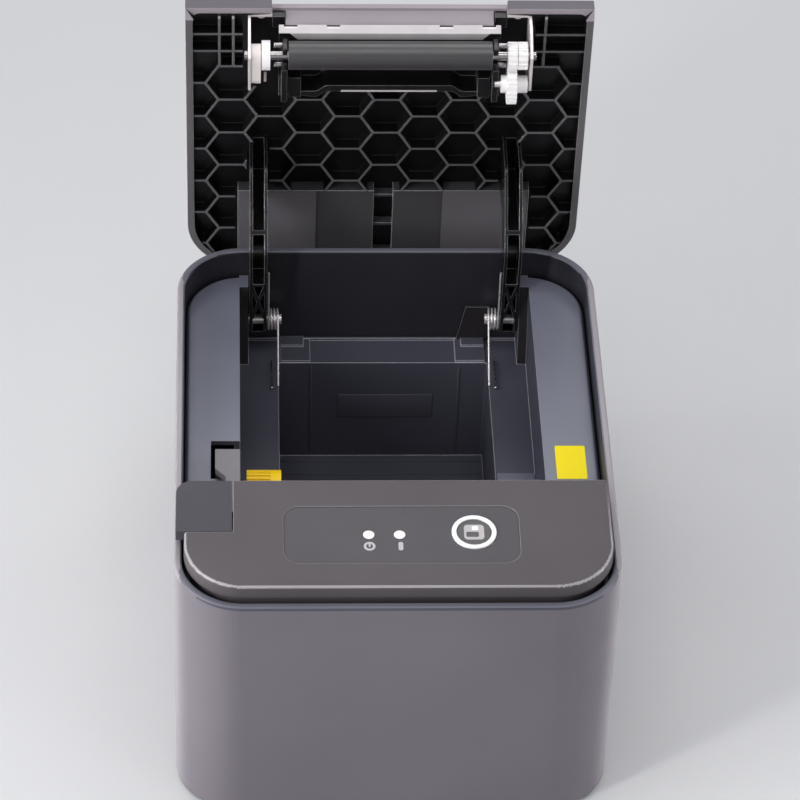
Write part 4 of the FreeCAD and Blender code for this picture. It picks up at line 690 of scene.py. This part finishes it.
# %% [markdown]
# A plain yellow patch is stuck on the right-hand ledge, where the cover's rear edge begins. It is
# thin enough to be a sticker, so it is a rounded sheet a sixth of a millimetre thick that lies on
# the ledge.

# %% Yellow patch
PATCH_SIZE, PATCH_THICK, PATCH_CORNER = (0.0112, 0.0179), 0.00016, 0.0006
PATCH_X, PATCH_Y = 0.0662, -0.01165


def round_edges(shape, edges, radius, steps):
    """Rounds some edges of a shape in a number of steps."""
    bmesh.ops.bevel(shape, geom=edges, offset=radius, offset_type="OFFSET", affect="EDGES", segments=steps,
                    profile=0.5, material=-1)


def rounded_sheet(width, depth, thick, corner):
    """A thin sheet on the ground plane with round corners, centred on the origin."""
    shape = bmesh.new()
    bmesh.ops.create_cube(shape, size=1)
    bmesh.ops.scale(shape, vec=(width, depth, thick), verts=shape.verts)
    bmesh.ops.translate(shape, vec=(0, 0, thick / 2), verts=shape.verts)
    uprights = [e for e in shape.edges if abs(e.verts[0].co.z - e.verts[1].co.z) > thick / 2]
    round_edges(shape, uprights, corner, 5)
    return shape


patch = rounded_sheet(*PATCH_SIZE, PATCH_THICK, PATCH_CORNER)
bmesh.ops.translate(patch, vec=(PATCH_X, PATCH_Y, LEDGE), verts=patch.verts)
keep_piece("blank_patch", patch, ["patch_yellow"], "body")

# %% [markdown]
# The flat panel inside the lid has a paler, coarser field on the outer part of each half. Each is a
# thin raised sheet, drawn with the lid shut, where the panel is level, and then swung open about
# the hinge pins together with the lid.

# %% Pale fields on the inner panel
PANEL_FRONT, PANEL_REAR, PANEL_OUT = 0.0508, 0.0888, 0.0562
FIELD_IN = {"left": -0.0262, "right": 0.0232}
FIELD_THICK, FIELD_MARGIN, FIELD_CORNER = 0.0002, 0.0004, 0.0003
field_depth = PANEL_REAR - PANEL_FRONT - 2 * FIELD_MARGIN
for side, inner in FIELD_IN.items():
    outer = math.copysign(PANEL_OUT, inner)
    field = rounded_sheet(abs(outer - inner), field_depth, FIELD_THICK, FIELD_CORNER)
    bmesh.ops.translate(field, vec=((inner + outer) / 2, (PANEL_FRONT + PANEL_REAR) / 2,
                                    RIB_LOW - FIELD_THICK), verts=field.verts)
    keep_piece(f"panel_field_{side}", swung_open(field), ["panel_pale"], "lid_unit")

# %% [markdown]
# The cover slopes down to the front, so marks on it are drawn on a level deck and then tipped. Two
# plain signs are printed under the lights, a ring with a short bar and a rounded bar, and the feed
# button carries a rounded square with a slot in it. Each is a very thin sheet, because a picture
# would blur when the camera comes close.

# %% Marks on the cover
DECK_NOSE, DECK_FRONT = -0.0949, 0.1138
DECK_RISE, DECK_RUN = 0.0025, 0.0518
DECK_TIP = math.atan2(DECK_RISE, DECK_RUN)
WINDOW_SINK = -0.0003
PRINT = 0.00006


def on_deck(shape, x, y, height):
    """Moves a shape to a place on the level deck and tips it to the cover's slope."""
    bmesh.ops.translate(shape, vec=(x, y, height), verts=shape.verts)
    bmesh.ops.rotate(shape, cent=(0, 0, 0), matrix=Matrix.Rotation(DECK_TIP, 3, "X"), verts=shape.verts)
    bmesh.ops.translate(shape, vec=(0, DECK_NOSE, DECK_FRONT), verts=shape.verts)
    return shape


def flat_ring(outer, inner, thick, steps=40):
    """A flat ring spun from its section, lying on the ground plane."""
    shape = bmesh.new()
    section = ((inner, 0, 0), (outer, 0, 0), (outer, 0, thick), (inner, 0, thick))
    corners = [shape.verts.new(point) for point in section]
    edges = [shape.edges.new((corners[i], corners[(i + 1) % 4])) for i in range(4)]
    bmesh.ops.spin(shape, geom=edges, cent=(0, 0, 0), axis=(0, 0, 1), dvec=(0, 0, 0), angle=math.tau,
                   steps=steps, use_merge=True)
    return shape


POWER_X, FAULT_X, MARK_Y, BAR_Y = -0.01055, 0.00055, 0.01985, 0.02025
RING_OUT, RING_IN = 0.0021, 0.0012
BAR_SIZE, BAR_CORNER = (0.0007, 0.0016), 0.0003
FAULT_SIZE, FAULT_CORNER = (0.0017, 0.0040), 0.0007
for name, sign, x, y in (
        ("power_mark", flat_ring(RING_OUT, RING_IN, PRINT), POWER_X, MARK_Y),
        ("power_bar", rounded_sheet(*BAR_SIZE, PRINT, BAR_CORNER), POWER_X, BAR_Y),
        ("fault_mark", rounded_sheet(*FAULT_SIZE, PRINT, FAULT_CORNER), FAULT_X, MARK_Y)):
    keep_piece(name, on_deck(sign, x, y, WINDOW_SINK), ["mark_pale"], "body")

FEED_X, FEED_Y = 0.0268, 0.02625
for name, width, depth, x, y, finish, lift in (
        ("feed_square", 0.0072, 0.0072, 0, 0, "mark_pale", 0),
        ("feed_slot", 0.0044, 0.0024, -0.0006, -0.0011, "key_dark", PRINT),
        ("feed_tab", 0.0024, 0.0022, 0.0004, 0.0019, "lens_white", PRINT)):
    sheet = rounded_sheet(width, depth, PRINT, min(width, depth) / 5)
    keep_piece(name, on_deck(sheet, FEED_X + x, FEED_Y + y, lift), [finish], "feed_key")

# %% [markdown]
# Behind the right-hand hinge pin a thin gusset stands on the rear shelf against the wall, with one
# slanting side. Its outline is one face with four corners, which is then pulled out to its
# thickness.

# %% Gusset behind the right-hand pin
TRAY_REAR = 0.0952
GUSSET_THICK, GUSSET_TOP = 0.0011, 0.0800
GUSSET_OUTLINE = ((0.0292, SHELF), (0.0420, SHELF), (0.0420, GUSSET_TOP), (0.0325, GUSSET_TOP))
gusset = bmesh.new()
corners = [gusset.verts.new((x, TRAY_REAR, z)) for x, z in GUSSET_OUTLINE]
plate = gusset.faces.new(corners)
pulled = bmesh.ops.extrude_face_region(gusset, geom=[plate])["geom"]
moved = [v for v in pulled if isinstance(v, bmesh.types.BMVert)]
bmesh.ops.translate(gusset, vec=(0, -GUSSET_THICK, 0), verts=moved)
# The gusset takes the same painted shade as the cheek fronts.
keep_piece("pin_gusset", gusset, ["cheek_painted_shade"], "body")

# %% [markdown]
# The wall and the floor of the roll bay carry low raised shapes that stiffen them: a flat plate in
# the middle of the wall, an upright rib on each side of it, and two ribs across the floor. The
# right-hand shelf has a low step. All of them are blocks, so one helper makes them from two corners.

# %% Raised shapes in the roll bay
BAY_REAR, BAY_FLOOR, BAY_HALF, RAISED = 0.081, 0.0129, 0.041, 0.0004
PLATE_LEFT, PLATE_RIGHT, PLATE_FOOT, PLATE_TOP = -0.0173, 0.0200, 0.0342, 0.0459
RIB_HALF, RIB_FOOT, RIB_TOP, RIB_MARGIN = 0.0004, 0.0160, 0.0600, 0.001
WALL_RIBS, FLOOR_RIBS = (-0.0280, 0.0300), (0.0775, 0.0700)
STEP_LOW, STEP_HIGH = (0.0416, 0.0060, SHELF), (0.0560, 0.0165, SHELF + 0.0012)


def block(low, high):
    """A plain block between two corners, with its edges just broken."""
    shape = bmesh.new()
    bmesh.ops.create_cube(shape, size=1)
    size = Vector(high) - Vector(low)
    bmesh.ops.scale(shape, vec=size, verts=shape.verts)
    bmesh.ops.translate(shape, vec=(Vector(low) + Vector(high)) / 2, verts=shape.verts)
    round_edges(shape, shape.edges[:], min(size) / 6, 2)
    return shape


def merge_into(shape, other):
    """Adds one bmesh to another."""
    carrier = bpy.data.meshes.new("carrier")
    other.to_mesh(carrier)
    other.free()
    shape.from_mesh(carrier)
    bpy.data.meshes.remove(carrier)


def row_of_blocks(name, pairs, finish, body):
    """One piece made of several blocks, each given by its two corners."""
    row = bmesh.new()
    for low, high in pairs:
        merge_into(row, block(low, high))
    keep_piece(name, row, [finish], body)


wall_face = BAY_REAR - RAISED
wall_pairs = [((PLATE_LEFT, wall_face, PLATE_FOOT), (PLATE_RIGHT, BAY_REAR, PLATE_TOP))]
for x in WALL_RIBS:
    wall_pairs.append(((x - RIB_HALF, wall_face, RIB_FOOT), (x + RIB_HALF, BAY_REAR, RIB_TOP)))
row_of_blocks("bay_wall_shapes", wall_pairs, "bay_slate", "body")
rib_reach = BAY_HALF - RIB_MARGIN
floor_pairs = []
for y in FLOOR_RIBS:
    floor_pairs.append(((-rib_reach, y - RIB_HALF, BAY_FLOOR), (rib_reach, y + RIB_HALF, BAY_FLOOR + RAISED)))
row_of_blocks("bay_floor_ribs", floor_pairs, "bay_slate", "body")
# The step takes the ledges' paler tone, a painted sheen.
row_of_blocks("shelf_step", [(STEP_LOW, STEP_HIGH)], "ledge_painted_sheen", "body")

# %% [markdown]
# Each end of the platen runs between two black cheeks of its frame, held by two short steel dowels.
# They are drawn with the lid shut, where the shaft lies level, and swung open with the lid. The
# cheeks leave a slot for the shaft, so that it can turn freely. A small bright tab of the left
# bracket shows beside them.

# %% Cheeks and dowels at the ends of the platen
SHAFT_Y, SHAFT_Z = -0.0307, 0.0974
SEAT_IN, SEAT_OUT, SEAT_FRONT, SEAT_REAR = 0.0384, 0.0402, -0.0359, -0.0200
SEAT_LOW, SEAT_HIGH, SLOT_HALF = 0.0950, 0.1010, 0.0022
DOWEL_END, DOWEL_RADIUS, DOWEL_FRONT, DOWEL_REAR = 0.0435, 0.0010, -0.0358, -0.0261
TAB_LOW, TAB_HIGH = (-0.0471, -0.0215, 0.0980), (-0.0461, -0.0168, 0.0986)


def dowel(start, end, y):
    """A short steel pin along X, level with the shaft, with broken edges."""
    shape = bmesh.new()
    bmesh.ops.create_cone(shape, cap_ends=True, segments=20, radius1=DOWEL_RADIUS, radius2=DOWEL_RADIUS,
                          depth=abs(end - start))
    rims = [e for e in shape.edges if abs(e.verts[0].co.z - e.verts[1].co.z) < SEAM]
    round_edges(shape, rims, DOWEL_RADIUS / 5, 2)
    bmesh.ops.rotate(shape, cent=(0, 0, 0), matrix=Matrix.Rotation(math.pi / 2, 3, "Y"), verts=shape.verts)
    bmesh.ops.translate(shape, vec=((start + end) / 2, y, SHAFT_Z), verts=shape.verts)
    return shape


for side, name in ((-1, "left"), (1, "right")):
    near, far = sorted((side * SEAT_IN, side * SEAT_OUT))
    cheeks = block((near, SEAT_FRONT, SEAT_LOW), (far, SHAFT_Y - SLOT_HALF, SEAT_HIGH))
    merge_into(cheeks, block((near, SHAFT_Y + SLOT_HALF, SEAT_LOW), (far, SEAT_REAR, SEAT_HIGH)))
    keep_piece(f"platen_cheeks_{name}", swung_open(cheeks), ["frame_black"], "lid_unit")
    pins = dowel(side * SEAT_OUT, side * DOWEL_END, DOWEL_FRONT)
    merge_into(pins, dowel(side * SEAT_OUT, side * DOWEL_END, DOWEL_REAR))
    keep_piece(f"platen_dowels_{name}", swung_open(pins), ["shaft_steel"], "lid_unit")
keep_piece("bracket_tab", swung_open(block(TAB_LOW, TAB_HIGH)), ["plated_steel"], "lid_unit")

# %% [markdown]
# Each hinge spring has a second leg, which lies on the shelf in front of the pin and ends in a
# small ball. It is a short wire made from a circle that is pulled out, with the ball at its end.

# %% Second legs of the hinge springs
WIRE, BALL = 0.00035, 0.0008
LEG_X, LEG_FRONT, LEG_LENGTH = 0.0437, 0.0655, 0.0155
for side, name in ((-1, "left"), (1, "right")):
    leg = bmesh.new()
    ring = bmesh.ops.create_circle(leg, segments=12, radius=WIRE, cap_ends=True)["verts"]
    bmesh.ops.rotate(leg, cent=(0, 0, 0), matrix=Matrix.Rotation(math.pi / 2, 3, "X"), verts=ring)
    drawn = bmesh.ops.extrude_face_region(leg, geom=leg.faces[:])["geom"]
    far_end = [v for v in drawn if isinstance(v, bmesh.types.BMVert)]
    bmesh.ops.translate(leg, vec=(0, LEG_LENGTH, 0), verts=far_end)
    bmesh.ops.create_uvsphere(leg, u_segments=16, v_segments=10, radius=BALL)
    bmesh.ops.translate(leg, vec=(side * LEG_X, LEG_FRONT, SHELF + BALL), verts=leg.verts)
    keep_piece(f"spring_leg_{name}", leg, ["shaft_steel"], "body")

# %% [markdown]
# The sockets at the rear are open shells. Each gets what a plug would meet inside it: a tongue with
# flat contacts, rows of sprung gold wires, and the round pin of the power inlet.

# %% Contacts in the sockets
REAR, BOARD_TOP, MOUTH = 0.0985, 0.0083, 0.008
USB_X, NET_X, DRAWER_X, DC_X = -0.018, 0.008, 0.036, -0.044
LINER_THICK = 0.0006
TONGUE_HALF, TONGUE_FOOT, TONGUE_TOP, TONGUE_SHORT = 0.0029, 0.0040, 0.0072, 0.0012
PIN_ROOT, PIN_TIP, PIN_SHORT, PIN_UP = 0.0011, 0.0009, 0.0015, 0.0055
back = REAR - MOUTH
liner_pairs = []
for x, half, foot, top in ((NET_X, 0.0068, 0.0012, 0.0209), (USB_X, 0.0051, 0.0010, 0.0187)):
    liner_pairs.append(((x - half, back, BOARD_TOP + foot), (x + half, back + LINER_THICK, top)))
row_of_blocks("socket_liners", liner_pairs, "arm_black", "body")
tongue = block((USB_X - TONGUE_HALF, back, BOARD_TOP + TONGUE_FOOT),
               (USB_X + TONGUE_HALF, REAR - TONGUE_SHORT, BOARD_TOP + TONGUE_TOP))
keep_piece("usb_tongue", tongue, ["lens_white"], "body")

# Each row: middle, number of contacts, pitch, width, foot and top above the board, distance from the mouth.
contact_rows = {
    "usb_contacts": (USB_X, 2, 0.0025, 0.0011, 0.0072, 0.0074, 0.0020),
    "network_contacts": (NET_X, 8, 0.00127, 0.0005, 0.0096, 0.0102, 0.0018),
    "drawer_contacts": (DRAWER_X, 6, 0.00127, 0.0005, 0.0088, 0.0094, 0.0018),
}
for name, (middle, count, pitch, width, foot, top, short) in contact_rows.items():
    places = [middle + (i - (count - 1) / 2) * pitch for i in range(count)]
    pairs = [((x - width / 2, back, BOARD_TOP + foot), (x + width / 2, REAR - short, BOARD_TOP + top))
             for x in places]
    row_of_blocks(name, pairs, "contact_gold", "body")
pin = bmesh.new()
bmesh.ops.create_cone(pin, cap_ends=True, segments=24, radius1=PIN_ROOT, radius2=PIN_TIP,
                      depth=MOUTH - PIN_SHORT)
bmesh.ops.rotate(pin, cent=(0, 0, 0), matrix=Matrix.Rotation(-math.pi / 2, 3, "X"), verts=pin.verts)
bmesh.ops.translate(pin, vec=(DC_X, REAR - (MOUTH + PIN_SHORT) / 2, BOARD_TOP + PIN_UP), verts=pin.verts)
keep_piece("power_pin", pin, ["wire_steel"], "body")

# %% [markdown]

# %% Finish
print("scene built")
